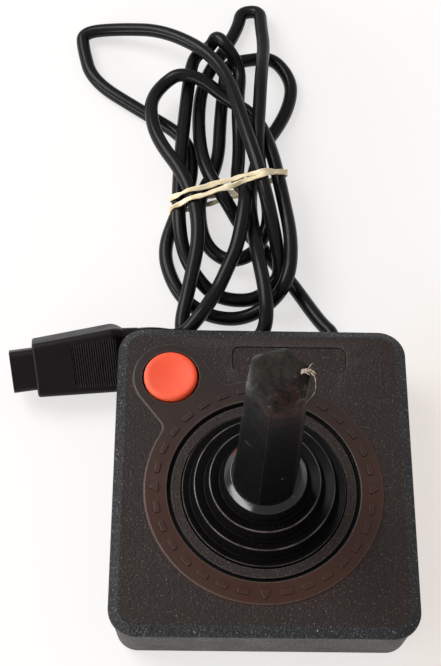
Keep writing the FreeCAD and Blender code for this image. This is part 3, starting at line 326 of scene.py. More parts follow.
def grained(name, colour, speck, fineness, specks, depth, rough, gloss=0.35, edge=None, rear=None):
    """Grained moulded plastic.

    An edge colour is laid along the rounded edges for rubbing and partly a painted highlight, and a rear
    colour takes over behind the stick.
    """
    f = Finish(name, Specular_IOR_Level=gloss)
    if rear is not None:
        colour = f.mix(f.span(f.coordinate(1), -0.005, 0.03), colour, rear)
    grain = f.group(GRAIN, Fineness=fineness, Colour=colour, Speck=speck, Specks=specks)
    marks = f.group(HANDLING, Size=110, Dust=0.35)
    shade = f.mix(marks["Dust"], grain["Colour"], speck)
    # Paler rounded edges: rubbing, and partly a painted highlight.
    if edge is not None:
        wear_and_highlight = f.times(f.edge, f.span(grain["Height"], 0.4, 0.6, 0.35, 0.9))
        shade = f.mix(wear_and_highlight, shade, edge)
    rough = f.span(marks["Smudge"], 0, 1, rough - 0.05, rough + 0.07)
    return f.done(shade, rough, grain["Height"], depth)


def handled(name, ground, dust, marks, rough, relief, depth, smudged=None, rubs=None, **plain):
    """Smooth plastic or rubber with smudges and dust.

    marks: size of the smudges, amount of dust. rough: lowest and highest roughness. relief: its noise,
    or None for the smudges. rubs: the scratches' turn, width, amount and colour.
    """
    f = Finish(name, **plain)
    marks = f.group(HANDLING, Size=marks[0], Dust=marks[1])
    if smudged is not None:
        ground = f.mix(marks["Smudge"], ground, smudged)
    shade = f.mix(marks["Dust"], ground, dust)
    if rubs is not None:
        scratches = f.group(SCRATCHES, Turn=rubs[0], Width=rubs[1], Amount=rubs[2])
        shade = f.mix(scratches["Mask"], shade, rubs[3])
    height = marks["Smudge"] if relief is None else f.noise(*relief)
    return f.done(shade, f.span(marks["Smudge"], 0, 1, *rough), height, depth)


def plain_finish(name, colour, other, scale, rough, metal=0):
    """Finish of an inner piece: two shades mixed by noise, with a little relief."""
    f = Finish(name, Metallic=metal)
    patch = f.noise(scale, 4, 0.6)
    return f.done(f.mix(f.span(patch, 0.35, 0.65), colour, other),
                  f.span(patch, 0.3, 0.7, rough - 0.06, rough + 0.06), f.noise(scale * 8), 0.00002)


# Finishes with parts of their own
def make_boot_rubber():
    """Glossy black rubber with dust in its valleys; its crests are paler, rubbed and partly a painted
    highlight.
    """
    f = Finish("boot rubber", Coat_Roughness=0.14, Specular_IOR_Level=0.06)
    marks = f.group(HANDLING, Size=160, Dust=0.4)
    ground = f.mix(marks["Dust"], (0.0035, 0.003, 0.0035), (0.1, 0.08, 0.06))
    crest = f.times(f.edge, f.span(marks["Smudge"], 0.2, 0.8, 0.3, 1))
    f.set(Coat_Weight=f.span(f.edge, 0, 0.7, 0.05, 1))
    # Paler crests: rubbing, and partly a painted highlight along the ridge lines.
    return f.done(f.mix(crest, ground, (0.24, 0.195, 0.17)), f.span(marks["Smudge"], 0, 1, 0.3, 0.46),
                  f.noise(3200, 2, 0.6), 0.00002)


def make_grip_rubber():
    """Black rubber with dusty facets; rubbed grey crown, crumbled brown to the front right, and a painted
    highlight on its rear-left rim.
    """
    f = Finish("grip rubber", Specular_IOR_Level=0.06, Coat_Weight=0.08, Coat_Roughness=0.3)
    marks = f.group(HANDLING, Size=150, Dust=0.5)
    rubs = f.group(SCRATCHES, Turn=0.5, Width=900, Amount=1)
    crumb = f.noise(520, 5, 0.75)
    patch = f.noise(260, 3, 0.6)
    toward = f.vector("DOT_PRODUCT", f.place, (0.62, -0.78, 0))["Value"]
    front = f.span(toward, 0.0045, 0.009)
    height = f.coordinate(2)
    level = f.vector("MULTIPLY", f.place, (1, 1, 0))[0]
    from_axis = f.vector("DISTANCE", level, (0, STICK[1] * MM, 0))["Value"]
    wear_and_highlight = f.mix(f.span(patch, 0.4, 0.62), (0.021, 0.019, 0.0175), (0.031, 0.0255, 0.02))
    # Painted highlight: a pale band along the crown's rim on the rear-left side.
    rear_rim_highlight = f.times(f.span(toward, 0.003, 0), f.span(from_axis, 0.0068, 0.008))
    for amount, shade in (
        (f.times(front, f.span(patch, 0.36, 0.54)), (0.03, 0.015, 0.0115)),
        (f.times(f.span(crumb, 0.57, 0.68), f.span(front, 0, 1, 0.15, 0.8)), (0.15, 0.12, 0.095)),
        (f.times(f.span(crumb, 0.47, 0.38), f.span(front, 0, 1, 0.4, 0.95)), (0.006, 0.005, 0.005)),
        (f.times(rear_rim_highlight, f.span(patch, 0.35, 0.6, 0.1, 0.8)), (0.16, 0.165, 0.17)),
    ):
        wear_and_highlight = f.mix(amount, wear_and_highlight, shade)
    ground = f.mix(marks["Dust"], (0.003, 0.0028, 0.0036), (0.06, 0.06, 0.06))
    for amount, shade in (
        (f.times(f.span(height, 0.072, 0.097), f.span(patch, 0.35, 0.7, 0.1, 0.8)), (0.022, 0.02, 0.021)),
        (f.times(f.span(height, 0.0835, 0.0925), f.span(patch, 0.3, 0.6), front), (0.045, 0.026, 0.021)),
        (f.times(rubs["Mask"], f.span(height, 0.078, 0.093, 0.25, 1)), (0.17, 0.155, 0.145)),
    ):
        ground = f.mix(amount, ground, shade)
    crumbled = f.times(f.edge, f.span(front, 0, 1, 0.3, 1))
    return f.done(f.mix(f.edge, ground, wear_and_highlight), f.span(marks["Smudge"], 0, 1, 0.46, 0.64),
                  f.times(crumb, f.span(crumbled, 0, 1, 0.25, 1)), 0.0016)


def make_band_rubber():
    """Cream rubber, browner in patches, with fine cracks along it."""
    f = Finish("band rubber")
    patch = f.noise(420, 3, 0.6)
    fine = f.noise(2600, 3, 0.6)
    shade = f.mix(f.span(patch, 0.35, 0.65), (0.9, 0.8, 0.56), (0.78, 0.62, 0.38))
    return f.done(f.mix(f.span(fine, 0.62, 0.75), shade, (0.6, 0.46, 0.28)),
                  f.span(patch, 0.3, 0.7, 0.55, 0.7), fine, 0.00006)


# Curves and grids shared by the pieces
def unit(vectors):
    """Vectors divided by their lengths."""
    return vectors / norm(vectors, axis=-1, keepdims=True)


def spoke(turn):
    """Unit vector in plan at an angle in radians from +X."""
    return np.stack([np.cos(turn), np.sin(turn)], -1)


def heading(degrees):
    """The same at an angle in degrees."""
    return spoke(np.radians(degrees))


def raised(plan, heights):
    """Plan points with their heights."""
    return np.concatenate([plan, np.broadcast_to(heights, plan.shape[:-1])[..., None]], -1)


def turned(points, degrees, centre=(0, 0)):
    """Plan points turned about the origin and moved to a centre."""
    along = heading(degrees)
    across = np.array([-along[1], along[0]])
    return points[..., :1] * along + points[..., 1:2] * across + centre


def rounded(rows, steps=7, closed=False):
    """Run of points with an arc at each corner: spokes turned evenly about a centre on the bisector.

    A row holds a corner's place and its radius.
    """
    rows = np.asarray(rows, float)
    corners, radii = rows[:, :-1], np.maximum(rows[:, -1], 0.01)
    before, after = np.roll(corners, 1, 0), np.roll(corners, -1, 0)
    inner = slice(None) if closed else slice(1, -1)
    middle, radii = corners[inner], radii[inner]
    back, ahead = unit(before[inner] - middle), unit(after[inner] - middle)
    half = np.arccos(np.clip((back * ahead).sum(1), -1, 1)) / 2
    reach = (radii / np.tan(half))[:, None]
    centre = middle + unit(back + ahead) * (radii / np.sin(half))[:, None]
    sweep = (np.pi - 2 * half)[:, None]
    share = np.linspace(0, 1, steps)
    first = (np.sin((1 - share) * sweep) / np.sin(sweep))[..., None]
    last = (np.sin(share * sweep) / np.sin(sweep))[..., None]
    start, end = middle + back * reach - centre, middle + ahead * reach - centre
    spokes = first * start[:, None] + last * end[:, None]
    run = (centre[:, None] + spokes).reshape(-1, corners.shape[1])
    return run if closed else np.concatenate([corners[:1], run, corners[-1:]])


def evened(run, step):
    """Run of points resampled at even distances, ends kept."""
    travelled = np.append(0, np.cumsum(norm(np.diff(run, axis=0), axis=1)))
    stops = np.linspace(0, travelled[-1], max(2, math.ceil(travelled[-1] / step) + 1))
    return np.stack([np.interp(stops, travelled, run[:, k]) for k in range(run.shape[1])], 1)


def edge_values(run, spots, start, fade):
    """Edge value of each point of a run: 1 at a spot, less with the distance from it."""
    if not len(spots):
        return np.zeros(len(run))
    gap = norm(run[:, None] - spots[None], axis=2).min(1)
    return np.clip(start - gap / fade, 0, 1)


def pattern(corners, arcs, side_steps):
    """Round-cornered outline: shares that run from corner to corner, and the spokes that round them."""
    shares, spokes = [], []
    stops = np.linspace(0, 1, side_steps + 2)[1:-1, None]
    for corner, onward, arc in zip(corners, np.roll(corners, -1, 0), arcs):
        shares += [np.tile(corner, (len(arc), 1)), corner + (onward - corner) * stops]
        spokes += [arc, np.tile(arc[-1], (side_steps, 1))]
    return np.concatenate(shares), np.concatenate(spokes)


def box_pattern(arc_steps, side_steps=0):
    """Pattern of a box, in shares of its half size less the corner's radius."""
    turn = np.linspace(0, np.pi / 2, arc_steps)
    arcs = [spoke(turn + quarter * np.pi / 2) for quarter in range(4)]
    return pattern(np.array([(1, 1), (-1, 1), (-1, -1), (1, -1)]), arcs, side_steps)


def box_outline(size, corner, centre=(0, 0), arc_steps=12):
    """Outline and outward normals of a round-cornered box in plan."""
    shares, spokes = box_pattern(arc_steps)
    return shares * (np.array(size) / 2 - corner) + spokes * corner + centre, spokes


def keyhole_outline():
    """Ring, two hollow fillets and round lobe, with outward normals.

    A fillet's centre lies where a circle of ring plus fillet radius meets the neck's side moved out.
    """
    neck = BUTTON - STICK
    rise = LOBE + NECK_FILLET
    run = math.sqrt((RING_OUTER + NECK_FILLET) ** 2 - rise ** 2)
    meet = math.degrees(math.atan2(rise, run))
    ring = heading(np.linspace(meet, 360 - meet, 181))
    low_fillet = heading(np.linspace(180 - meet, 90, 12))
    lobe = heading(np.linspace(-90, 90, 49))
    high_fillet = heading(np.linspace(-90, meet - 180, 12))
    reach = np.array([norm(neck), 0])
    points = [ring * RING_OUTER, low_fillet * NECK_FILLET + (run, -rise), lobe * LOBE + reach,
              high_fillet * NECK_FILLET + (run, rise)]
    points, normals = np.concatenate(points), np.concatenate([ring, -low_fillet, lobe, -high_fillet])
    turn = math.degrees(math.atan2(*neck[::-1]))
    return turned(points, turn, STICK), turned(normals, turn)


def inset(path, distance):
    """Outline of a path, moved in by a distance."""
    return path[0] - path[1] * distance


def carried(path, profile):
    """Profile of (inset, height) carried round a path."""
    profile = np.asarray(profile, float)
    return raised(inset(path, profile[:, :1, None]), profile[:, 1:])


def axis_path(centre, columns):
    """Path about an upright axis: an inset from it is a radius."""
    return np.tile(centre, (columns, 1)), -heading(np.arange(columns) * 360 / columns)


def lathe(profile, centre, columns):
    """Profile of (radius, height) turned about an upright axis."""
    return carried(axis_path(centre, columns), profile)


def ripple(points, lengths, seed):
    """Sum of sines along turned directions, one for each wave length, each scaled by its length."""
    total = np.zeros(points.shape[:-1])
    for k, length in enumerate(lengths):
        phase = seed * 1.7 + k * 2.4
        (c1, s1), (c2, s2), (c3, s3) = spoke(phase * np.array([1, 2, 3]))
        ways = np.array([[c1, s1, 0.4], [s2, 0.5, c2], [0.3, c3, s3]])
        waves = np.sin(points @ unit(ways).T * (TAU / length) + phase * np.array([1, 2.1, 3.3]))
        total += waves[..., 0] * (length / lengths[0]) ** 1.3 * (0.6 + 0.4 * waves[..., 1] * waves[..., 2])
    return total


def tube_round(line, radii, sides=8):
    """Tube about a line: circles in the plane of the line's side and rise."""
    along = unit(np.gradient(line, axis=0))
    side = unit(np.cross(along, (0.31, 0.17, 0.93)))
    rise = np.cross(along, side)
    turn = np.arange(sides) * TAU / sides
    ring = side[:, None] * np.cos(turn)[:, None] + rise[:, None] * np.sin(turn)[:, None]
    return line[:, None] + ring * np.asarray(radii)[:, None, None]


def inside(points, outline):
    """1 for each plan point in a closed outline: a ray from it crosses an odd number of edges."""
    ahead = np.roll(outline, -1, 0)
    spans = (outline[:, 1] > points[:, 1:]) != (ahead[:, 1] > points[:, 1:])
    rise = np.where(ahead[:, 1] == outline[:, 1], 1, ahead[:, 1] - outline[:, 1])
    cross = outline[:, 0] + (points[:, 1:] - outline[:, 1]) / rise * (ahead[:, 0] - outline[:, 0])
    return (spans & (cross > points[:, :1])).sum(1) % 2


class Form:
    """A piece under work: patches of points and faces, each with its finish and an edge value."""

    def __init__(self):
        self.points, self.faces, self.finishes, self.edges, self.count = [], [], [], [], 0

    def add(self, points, faces, finish=0, edge=0.0):
        """Points of any shape, and faces that count from their first."""
        shape = points.shape[:-1]
        self.points.append(points.reshape(-1, 3))
        self.edges.append(np.broadcast_to(edge, shape).reshape(-1))
        self.faces += (np.asarray(faces) + self.count).tolist()
        self.finishes += np.broadcast_to(finish, len(faces)).tolist()
        self.count += len(self.points[-1])

    def grid(self, points, finish=0, edge=0.0, wrap_rows=False):
        """Rows of points that close on themselves, joined by quads; edge may have a value for each row."""
        rows, columns = points.shape[:2]
        starts = np.arange(rows if wrap_rows else rows - 1)
        row, column = np.meshgrid(starts, np.arange(columns), indexing="ij")
        below, beside = (row + 1) % rows, (column + 1) % columns
        quads = np.stack([row * columns + column, row * columns + beside, below * columns + beside,
                          below * columns + column], -1)
        edge = np.asarray(edge, float).reshape(-1, 1) if np.ndim(edge) == 1 else edge
        self.add(points, quads.reshape(-1, 4), finish, edge)
        return self

    def flat(self, outlines, height, finish=0):
        """Flat triangles inside the first outline and outside the others, at one height."""
        points, loops, start = np.concatenate(outlines), [], 0
        for outline in outlines:
            loop = np.arange(len(outline)) + start
            loops.append(np.stack([loop, np.roll(loop, -1)], -1))
            start += len(outline)
        edges = np.concatenate(loops).tolist()
        found = delaunay_2d_cdt([Vector(p) for p in points.tolist()], edges, [], 2, 1e-5)
        plan, triangles = np.array([tuple(p) for p in found[0]]), np.array(found[2])
        kept = sum(inside(plan[triangles].mean(1), outline) for outline in outlines) == 1
        self.add(raised(plan, height), triangles[kept], finish)

    def cap(self, ring, finish=0):
        """One flat face over a closed ring of points."""
        self.add(ring, [list(range(len(ring)))], finish)

    def rod(self, sections):
        """Rows of points with a cap on the first and the last."""
        self.grid(sections)
        self.cap(sections[0])
        self.cap(sections[-1])
        return self

    def piece(self, name, materials, body, slot, stands_for=(), sharp=60):
        """Closed mesh with merged seams, outward faces and sharp edges over an angle."""
        mesh = bpy.data.meshes.new(name)
        mesh.from_pydata((np.concatenate(self.points) * MM).tolist(), [], self.faces)
        mesh.attributes.new("edge", "FLOAT", "POINT").data.foreach_set("value", np.concatenate(self.edges))
        mesh.polygons.foreach_set("material_index", self.finishes)
        work = bmesh.new()
        work.from_mesh(mesh)
        bmesh.ops.remove_doubles(work, verts=work.verts, dist=2e-6)
        bmesh.ops.recalc_face_normals(work, faces=work.faces)
        work.to_mesh(mesh)
        work.free()
        mesh.shade_smooth()
        mesh.set_sharp_from_angle(angle=math.radians(sharp))
        for material in materials:
            mesh.materials.append(material)
        made = placed(name, mesh)
        if body:
            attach(made, body)
        if stands_for:
            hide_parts(*stands_for)
        return made


# Cord
def plug_place(a, w, t):
    """Places on the plug from its own lengths: along, across its broad face and out of that face."""
    along = raised(heading(PLUG_YAW), 0)
    up = np.array([0, 0, 1])
    roll = math.radians(PLUG_ROLL)
    across = np.cross(up, along) * math.cos(roll) + up * math.sin(roll)
    a, w, t = np.broadcast_arrays(a, w, t)
    return PLUG_FRONT + a[..., None] * along + w[..., None] * across + t[..., None] * np.cross(along, across)


def cord_route():
    """The cord's control points from the case to the plug.

    A bend's heading climbs at its neighbours' slope where the cord rises or falls through it. Two
    corners lie between bends, ahead of one and behind the next, their reach half the line between them.
    """
    rows = np.array(HANK_BENDS, float)
    places = rows[:, [0, 1, 3]]
    steps = np.diff(places, axis=0)
    plan, rise = np.hypot(steps[:, 0], steps[:, 1]), steps[:, 2]
    slope = np.zeros(len(rows))
    climbs = rise[:-1] * rise[1:] > 0
    slope[1:-1] = np.where(climbs, (rise[:-1] + rise[1:]) / (plan[:-1] + plan[1:]), 0)
    ways = unit(raised(heading(rows[:, 2]), slope))
    out, onward = ways[:-1], ways[1:]
    a = np.maximum(2 * (1 - (out * onward).sum(1)), 1e-9)
    b = 2 * (steps * (out + onward)).sum(1)
    c = (steps * steps).sum(1)
    reach = ((-b + np.sqrt(b * b + 4 * a * c)) / (2 * a))[:, None]
    corners = np.stack([places[:-1] + out * reach, places[1:] - onward * reach], 1).reshape(-1, 3)
    gland = np.array(GLAND_END)
    lead = [gland, gland + (0, LEAD_RUN, 0), LEAD_POINT, places[0] - ways[0] * JOIN_RUN]
    plug_end = PLUG_LENGTH + RELIEF_LENGTH
    tail = plug_place(np.array([plug_end + TAIL_RUN, plug_end]), PLUG_RAISE, 0)
    return np.concatenate([lead, corners, [places[-1] + ways[-1] * JOIN_RUN, TAIL_POINT], tail])


def make_cord(material):
    """Smooth quadratic spline through the route, with the jacket's round section; also its centre line."""
    data = bpy.data.curves.new("cord", "CURVE")
    data.dimensions = "3D"
    data.resolution_u = 12
    spline = data.splines.new("NURBS")
    route = cord_route() * MM
    spline.points.add(len(route) - 1)
    spline.points.foreach_set("co", np.concatenate([route, np.ones((len(route), 1))], 1).ravel())
    spline.order_u = 3
    spline.use_endpoint_u = True
    cord = placed("cord", data)
    line = bpy.data.meshes.new_from_object(cord)
    centre = np.zeros(len(line.vertices) * 3)
    line.vertices.foreach_get("co", centre)
    bpy.data.meshes.remove(line)
    data.bevel_depth = JACKET_RADIUS * MM
    data.bevel_resolution = 5
    data.use_fill_caps = True
    data.materials.append(material)
    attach(cord, "case")
    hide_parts("cord_lead", "cord_hank", "cord_tail")
    return cord, centre.reshape(-1, 3) / MM


# Lid
def make_lid(materials):
    """Lid: bevelled rim, flat top, keyhole frame, groove, boot bore, button well and plate recess.

    Each strip has a path, a finish, a step, and the inset, height and rounding of its corners.
    """
    lid = Form()
    top, rim, satin, groove_shade = range(4)
    case = box_outline(CASE_SIZE, CASE_CORNER, arc_steps=20)
    keyhole = keyhole_outline()
    plate = box_outline(PLATE_SIZE, PLATE_CORNER, PLATE_MIDDLE)
    ring, well = axis_path(STICK, RING_COLUMNS), axis_path(BUTTON, WELL_COLUMNS)
    shade_start, shade_end = GROOVE_FLOOR + SHADE_RISE, CASE_TOP - SHADE_DROP
    for path, finish, step, *rows in (
        (case, rim, 0.14, (SKIRT, LID_CEILING, 0), (SKIRT, LID_FOOT, 0), (0, LID_FOOT, 0.2),
         (0, LID_RIM, 0.5), (CHAMFER, CASE_TOP, 0.4), (CHAMFER + RIM_REACH, CASE_TOP, 0)),
        (keyhole, satin, 0.1, (-OUTER_REACH, CASE_TOP, 0), (0, CASE_TOP, 0.1), (0, FRAME_TOP, 0.38),
         (FRAME_REACH, FRAME_TOP, 0)),
        (plate, top, 0.14, (-OUTER_REACH, CASE_TOP, 0), (0, CASE_TOP, 0.18), (0, PLATE_FLOOR, 0.1),
         (PLATE_REACH, PLATE_FLOOR, 0)),
        (ring, satin, 0.1, (RING_INNER + RIM_REACH, FRAME_TOP, 0), (RING_INNER, FRAME_TOP, 0.2),
         (RING_INNER, shade_start, 0)),
        # The groove's walls and floor take the near-black finish: painted shade.
        (ring, groove_shade, 0.14, (RING_INNER, shade_start, 0), (RING_INNER, GROOVE_FLOOR, 0.1),
         (GROOVE_INNER, GROOVE_FLOOR, 0.1), (GROOVE_INNER, shade_end, 0)),
        (ring, top, 0.2, (GROOVE_INNER, shade_end, 0), (GROOVE_INNER, CASE_TOP, 0.2),
         (BOOT_HOLE, CASE_TOP, 0.2), (BOOT_HOLE, LID_CEILING, 0)),
        (well, satin, 0.14, (WELL_HOLE + RIM_REACH, FRAME_TOP, 0), (WELL_HOLE, FRAME_TOP, 0.25),
         (WELL_HOLE, WELL_FOOT, 0), (WELL_OUTER, WELL_FOOT, 0), (WELL_OUTER, LID_CEILING, 0)),
    ):
        run = evened(rounded(rows), step)
        spots = np.array([row[:2] for row in rows[1:-1] if row[2] > LEAST_EDGE_ROUND])
        lid.grid(carried(path, run), finish, edge_values(run, spots, 1.15, 0.4))
    around = [inset(keyhole, -OUTER_REACH), inset(plate, -OUTER_REACH)]
    lid.flat([inset(case, CHAMFER + RIM_REACH), *around], CASE_TOP, top)
    holes = [inset(ring, RING_INNER + RIM_REACH), inset(well, WELL_HOLE + RIM_REACH)]
    lid.flat([inset(keyhole, FRAME_REACH), *holes], FRAME_TOP, satin)
    lid.flat([inset(plate, PLATE_REACH)], PLATE_FLOOR, top)
    lid.flat([inset(case, SKIRT), inset(ring, BOOT_HOLE), inset(well, WELL_OUTER)], LID_CEILING, groove_shade)
    add_marks(lid, satin, groove_shade)
    lid.piece("lid", materials, "case", "case_plastic", ["top_shell"], sharp=50)


def add_marks(lid, finish, shade):
    """Raised dashes round the ring between quarters, and a small triangle at each quarter.

    The side of a mark is painted shade, in the groove's near black, up to the start of its rounded edge;
    above it the edge value stands for rubbing and partly a painted highlight.
    """
    profile = rounded([(-MARK_ROUND, FRAME_TOP - MARK_SINK, 0), (0, MARK_TOP, MARK_ROUND),
                       (0.35, MARK_TOP, 0)], steps=4)
    wear_and_highlight = (0.1, 0.5, 0.3, 0)
    side = len(profile) - len(wear_and_highlight)
    dash = box_outline(DASH_SIZE, DASH_CORNER, (MARK_RING, 0), arc_steps=5)
    tip = np.insert(heading(np.arange(3) * 120) * TRIANGLE, 2, TRIANGLE_ROUND, axis=1)
    triangle = rounded(tip, steps=4, closed=True)
    step = 90 / (DASHES_PER_QUARTER + 1)
    for place in range(4 * (DASHES_PER_QUARTER + 1)):
        on_quarter = place % (DASHES_PER_QUARTER + 1) == 0
        mark = carried((triangle + (MARK_RING, 0), triangle) if on_quarter else dash, profile)
        mark = raised(turned(mark[..., :2], place * step, STICK), mark[..., 2])
        # The mark's side takes the near-black finish: painted shade.
        lid.grid(mark[:side + 1], shade)
        lid.grid(mark[side:], finish, wear_and_highlight)
        lid.cap(mark[-1], finish)


# Rubber boot in two halves that meet on the third riser, and its collar
def make_boot_half(name, stands_for, rubber, rows):
    """Ridges and valleys turned about the stick; a crest's edge value is high."""
    run = rounded(rows, closed=True)
    half = Form().grid(lathe(run, STICK, 192), 0, edge_values(run, CRESTS, 1.2, 0.3), wrap_rows=True)
    half = half.piece(name, [rubber], None, "boot_rubber", [stands_for])
    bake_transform(half)


def make_collar(gloss):
    """Glossy collar round the foot of the grip: a turned band with a soft rim."""
    collar = Form().grid(lathe(rounded(COLLAR, closed=True), STICK, 160), wrap_rows=True)
    collar.piece("collar", [gloss], "stick", "boot_rubber", ["boot_collar"], sharp=50)


# Grip
def make_grip(rubber):
    """Tapered hexagon with a rubbed, lumpy top whose right-hand edge has torn away.

    Side: share of the hexagon times a radius that shrinks with height. Top: the last section drawn
    in to the middle, lower towards its edge by the cube of the share, less lumps and the tears.
    """
    turns = GRIP_TURN + 60 * np.arange(6)
    shares, spokes = pattern(heading(turns), [heading(turn + np.linspace(-30, 30, 7)) for turn in turns], 26)
    heights = np.linspace(GRIP_FOOT, GRIP_SHOULDER, GRIP_ROWS)
    radius = np.interp(heights, [GRIP_FOOT, GRIP_TOP], [GRIP_FOOT_RADIUS, GRIP_TOP_RADIUS])
    edge_centre = radius - GRIP_EDGE / math.sin(math.radians(60))
    side = shares * edge_centre[:, None, None] + spokes * GRIP_EDGE
    draw = np.cos(np.linspace(0.12, 1, 8) * np.pi / 2) * 0.1 + 0.9
    draw = np.concatenate([draw, np.linspace(0.88, 0, 56)])
    dome = GRIP_CROWN - (GRIP_CROWN - GRIP_SHOULDER) * draw[:, None] ** 6
    place = np.concatenate([raised(side, heights[:, None]), raised(side[-1] * draw[:, None, None], dome)])
    height, from_axis = place[..., 2], norm(place[..., :2], axis=-1)
    body = place.copy()
    for spot, depth, reach in TEARS:
        body[..., 2] -= depth * np.exp(-(norm(place - spot, axis=-1) / reach) ** 2)
    lumps = ripple(place, LUMP_LENGTHS, 4)
    crown = np.clip((height - LUMP_FOOT) / 2, 0, 1) * np.clip(from_axis / 2, 0, 1)
    body[..., 2] += np.minimum(lumps * LUMP_HEIGHT * crown, LUMP_MOST)
    sag = ripple(place, SAG_LENGTHS, 9)
    fade = np.clip((height - GRIP_FOOT) / 3, 0, 1) * np.clip(from_axis / 6, 0, 1)
    body[..., :2] += spokes * (sag * SAG_DEPTH * fade)[..., None]
    body[..., :2] += STICK
    wear_and_highlight = np.clip((height - WORN_FOOT) / 4 + 0.2 * lumps, 0, 1)
    # The front corner takes the crown's colour: rubbing, and partly a painted highlight down that edge.
    front_edge = wear_and_highlight[:GRIP_ROWS, 3]
    front_edge[:] = np.maximum(front_edge, FRONT_WEAR_AND_HIGHLIGHT)
    grip = Form().grid(body, 0, wear_and_highlight)
    bore = lathe([(SHAFT_BORE, GRIP_FOOT), (SHAFT_BORE, SHAFT_TOP), (0, SHAFT_TOP)], STICK, len(shares))
    grip.grid(bore)
    grip.grid(np.stack([body[0], bore[0]]))
    grip.piece("grip", [rubber], "stick", "grip_rubber", ["grip_sleeve"])


def strand_line(points, count=26):
    """Smooth line through loose points: a quadratic blend of each neighbouring three."""
    points = np.asarray(points, float)
    ends = np.concatenate([points[:1], (points[1:-2] + points[2:-1]) / 2, points[-1:]])
    share = np.linspace(0, 1, count)[:, None]
    pieces = [a * (1 - share) ** 2 + 2 * b * share * (1 - share) + c * share ** 2
              for a, b, c in zip(ends, points[1:-1], ends[1:])]
    return np.concatenate([pieces[0]] + [piece[1:] for piece in pieces[1:]])


def make_strands(finish):
    """Frayed strands at the torn edge, thick at the root and thin at the tip."""
    strands = Form()
    for number, (thick, points) in enumerate(STRANDS):
        line = strand_line(points) + (*STICK, 0)
        share = np.linspace(0, 1, len(line))
        radii = thick * (1 - 0.4 * share) * (1 + 0.35 * np.sin(share * 23 + number))
        strands.rod(tube_round(line, radii))
    strands.piece("frayed_strands", [finish], "stick", "grip_rubber")


# Fire button, domes and spring
def make_button(plastic):
    """Round cap with a soft rim and a shallow dish, its skirt, flange and stem, as one closed section."""
    dish = np.linspace(DISH_REACH, 0, 24)
    top = np.stack([dish, DISH_FOOT + DISH_CURVE - np.sqrt(DISH_CURVE ** 2 - dish ** 2)], 1)
    outside = rounded(BUTTON_SKIRT + [(*top[0], 0)], steps=12)
    button = Form().grid(lathe(np.concatenate([BUTTON_BORE, outside[:-1], top]), BUTTON, 128))
    button.piece("button_cap", [plastic], "button", "button_plastic", ["fire_button"], sharp=50)


def make_domes(steel):
    """Thin snap domes, each a closed slice of a hollow sphere that flattens onto the board."""
    sphere = (DOME_RADIUS ** 2 + DOME_HEIGHT ** 2) / (2 * DOME_HEIGHT)
    middle = BOARD_TOP + DOME_HEIGHT - sphere
    profile = []
    for radius, turns in ((sphere, np.linspace(1, 0, 12)), (sphere - DOME_WALL, np.linspace(0, 1, 12))):
        turns = turns * math.acos((BOARD_TOP - middle) / radius)
        profile.append(np.stack([np.sin(turns) * radius, middle + np.cos(turns) * radius], 1))
    profile = np.concatenate(profile + [profile[0][:1]])
    for name, (place, joint) in DOMES.items():
        dome = Form().grid(lathe(profile, place, 48))
        dome = dome.piece(f"{name}_steel", [steel], "case", "dome_steel", [name], sharp=40)
        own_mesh(dome)


def make_spring(steel):
    """Helix from the film to the button's crown."""
    turn = np.linspace(0, SPRING_TURNS * 360, SPRING_TURNS * 40 + 1)
    low, high = FILM_TOP + SPRING_GAP, SPRING_TOP - SPRING_GAP
    line = raised(BUTTON + heading(turn) * SPRING_RADIUS, np.linspace(low, high, len(turn)))
    spring = Form().rod(tube_round(line, np.full(len(line), SPRING_WIRE), 10))
    spring = spring.piece("coil_spring", [steel], "case", "dome_steel", ["button_spring"])
    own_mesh(spring)


# Plug
def make_plug(plastic):
    """Moulded body: wider to the rear, then a round shoulder; fine ribs across the rear of its broad face.

    A rib is a raised cosine of the length over the pitch, inside the panel's edges.
    """
    soft = NOSE_ROUND * (1 - np.cos(np.linspace(0, np.pi / 2, 5)))
    last = PLUG_LENGTH + SHOULDER_REACH + np.array([-0.5, -0.25, -0.1, 0])
    a = np.concatenate([soft, np.arange(1, RIB_START - 0.3, 0.6), np.arange(RIB_START - 0.2, last[0], 0.08),
                        last])
    turn = np.clip((a - PLUG_STRAIGHT) / (PLUG_LENGTH - PLUG_STRAIGHT), 0, 1)
    crest = np.clip((a - PLUG_STRAIGHT) / (last[-1] - PLUG_STRAIGHT), 0, 1)
    front = NOSE_ROUND - np.sqrt(np.maximum(NOSE_ROUND ** 2 - np.maximum(NOSE_ROUND - a, 0) ** 2, 0))
    shrink = front + np.interp(a, last[:3], [0, 0.15, 0.6])
    half = PLUG_HALF_WIDTH + PLUG_FLARE * np.minimum(a, PLUG_STRAIGHT) / PLUG_STRAIGHT
    high, low = half - SHOULDER_DROP * crest ** 2.2 - shrink, -half + SHOULDER_TURN * turn ** 1.1 + shrink
    depth = (PLUG_DEPTH - SHOULDER_THINNING * turn ** 1.6 - 2 * shrink)[:, None]
    width, middle = (high - low)[:, None], ((high + low) / 2)[:, None]
    shares, spokes = box_pattern(7, 30)
    w = shares[:, 0] * (width / 2 - PLUG_CORNER) + spokes[:, 0] * PLUG_CORNER + middle
    t = shares[:, 1] * (depth / 2 - PLUG_CORNER) + spokes[:, 1] * PLUG_CORNER
    a = np.broadcast_to(a[:, None], w.shape)
    panel = np.clip((a - RIB_START) / 0.1, 0, 1) * np.clip((PLUG_STRAIGHT + RIB_PAST - a) / 0.1, 0, 1)
    face = t > 2
    panel = panel * np.clip((width / 2 - RIB_MARGIN - np.abs(w - middle)) / 0.4, 0, 1) * face
    rib = 0.5 - 0.5 * np.cos((a - RIB_START) * TAU / RIB_PITCH)
    spot = np.exp(-((a - DIMPLE_ALONG) ** 2 + (w - DIMPLE_ACROSS) ** 2) / DIMPLE_SPREAD) * face
    t = t - panel * (RIB_SINK - RIB_HEIGHT * rib)
    plug = Form().rod(plug_place(a, w, t - DIMPLE_DEPTH * spot))
    return plug.piece("plug_shell", [plastic], "case", "plug_plastic", ["plug_body"], sharp=50)


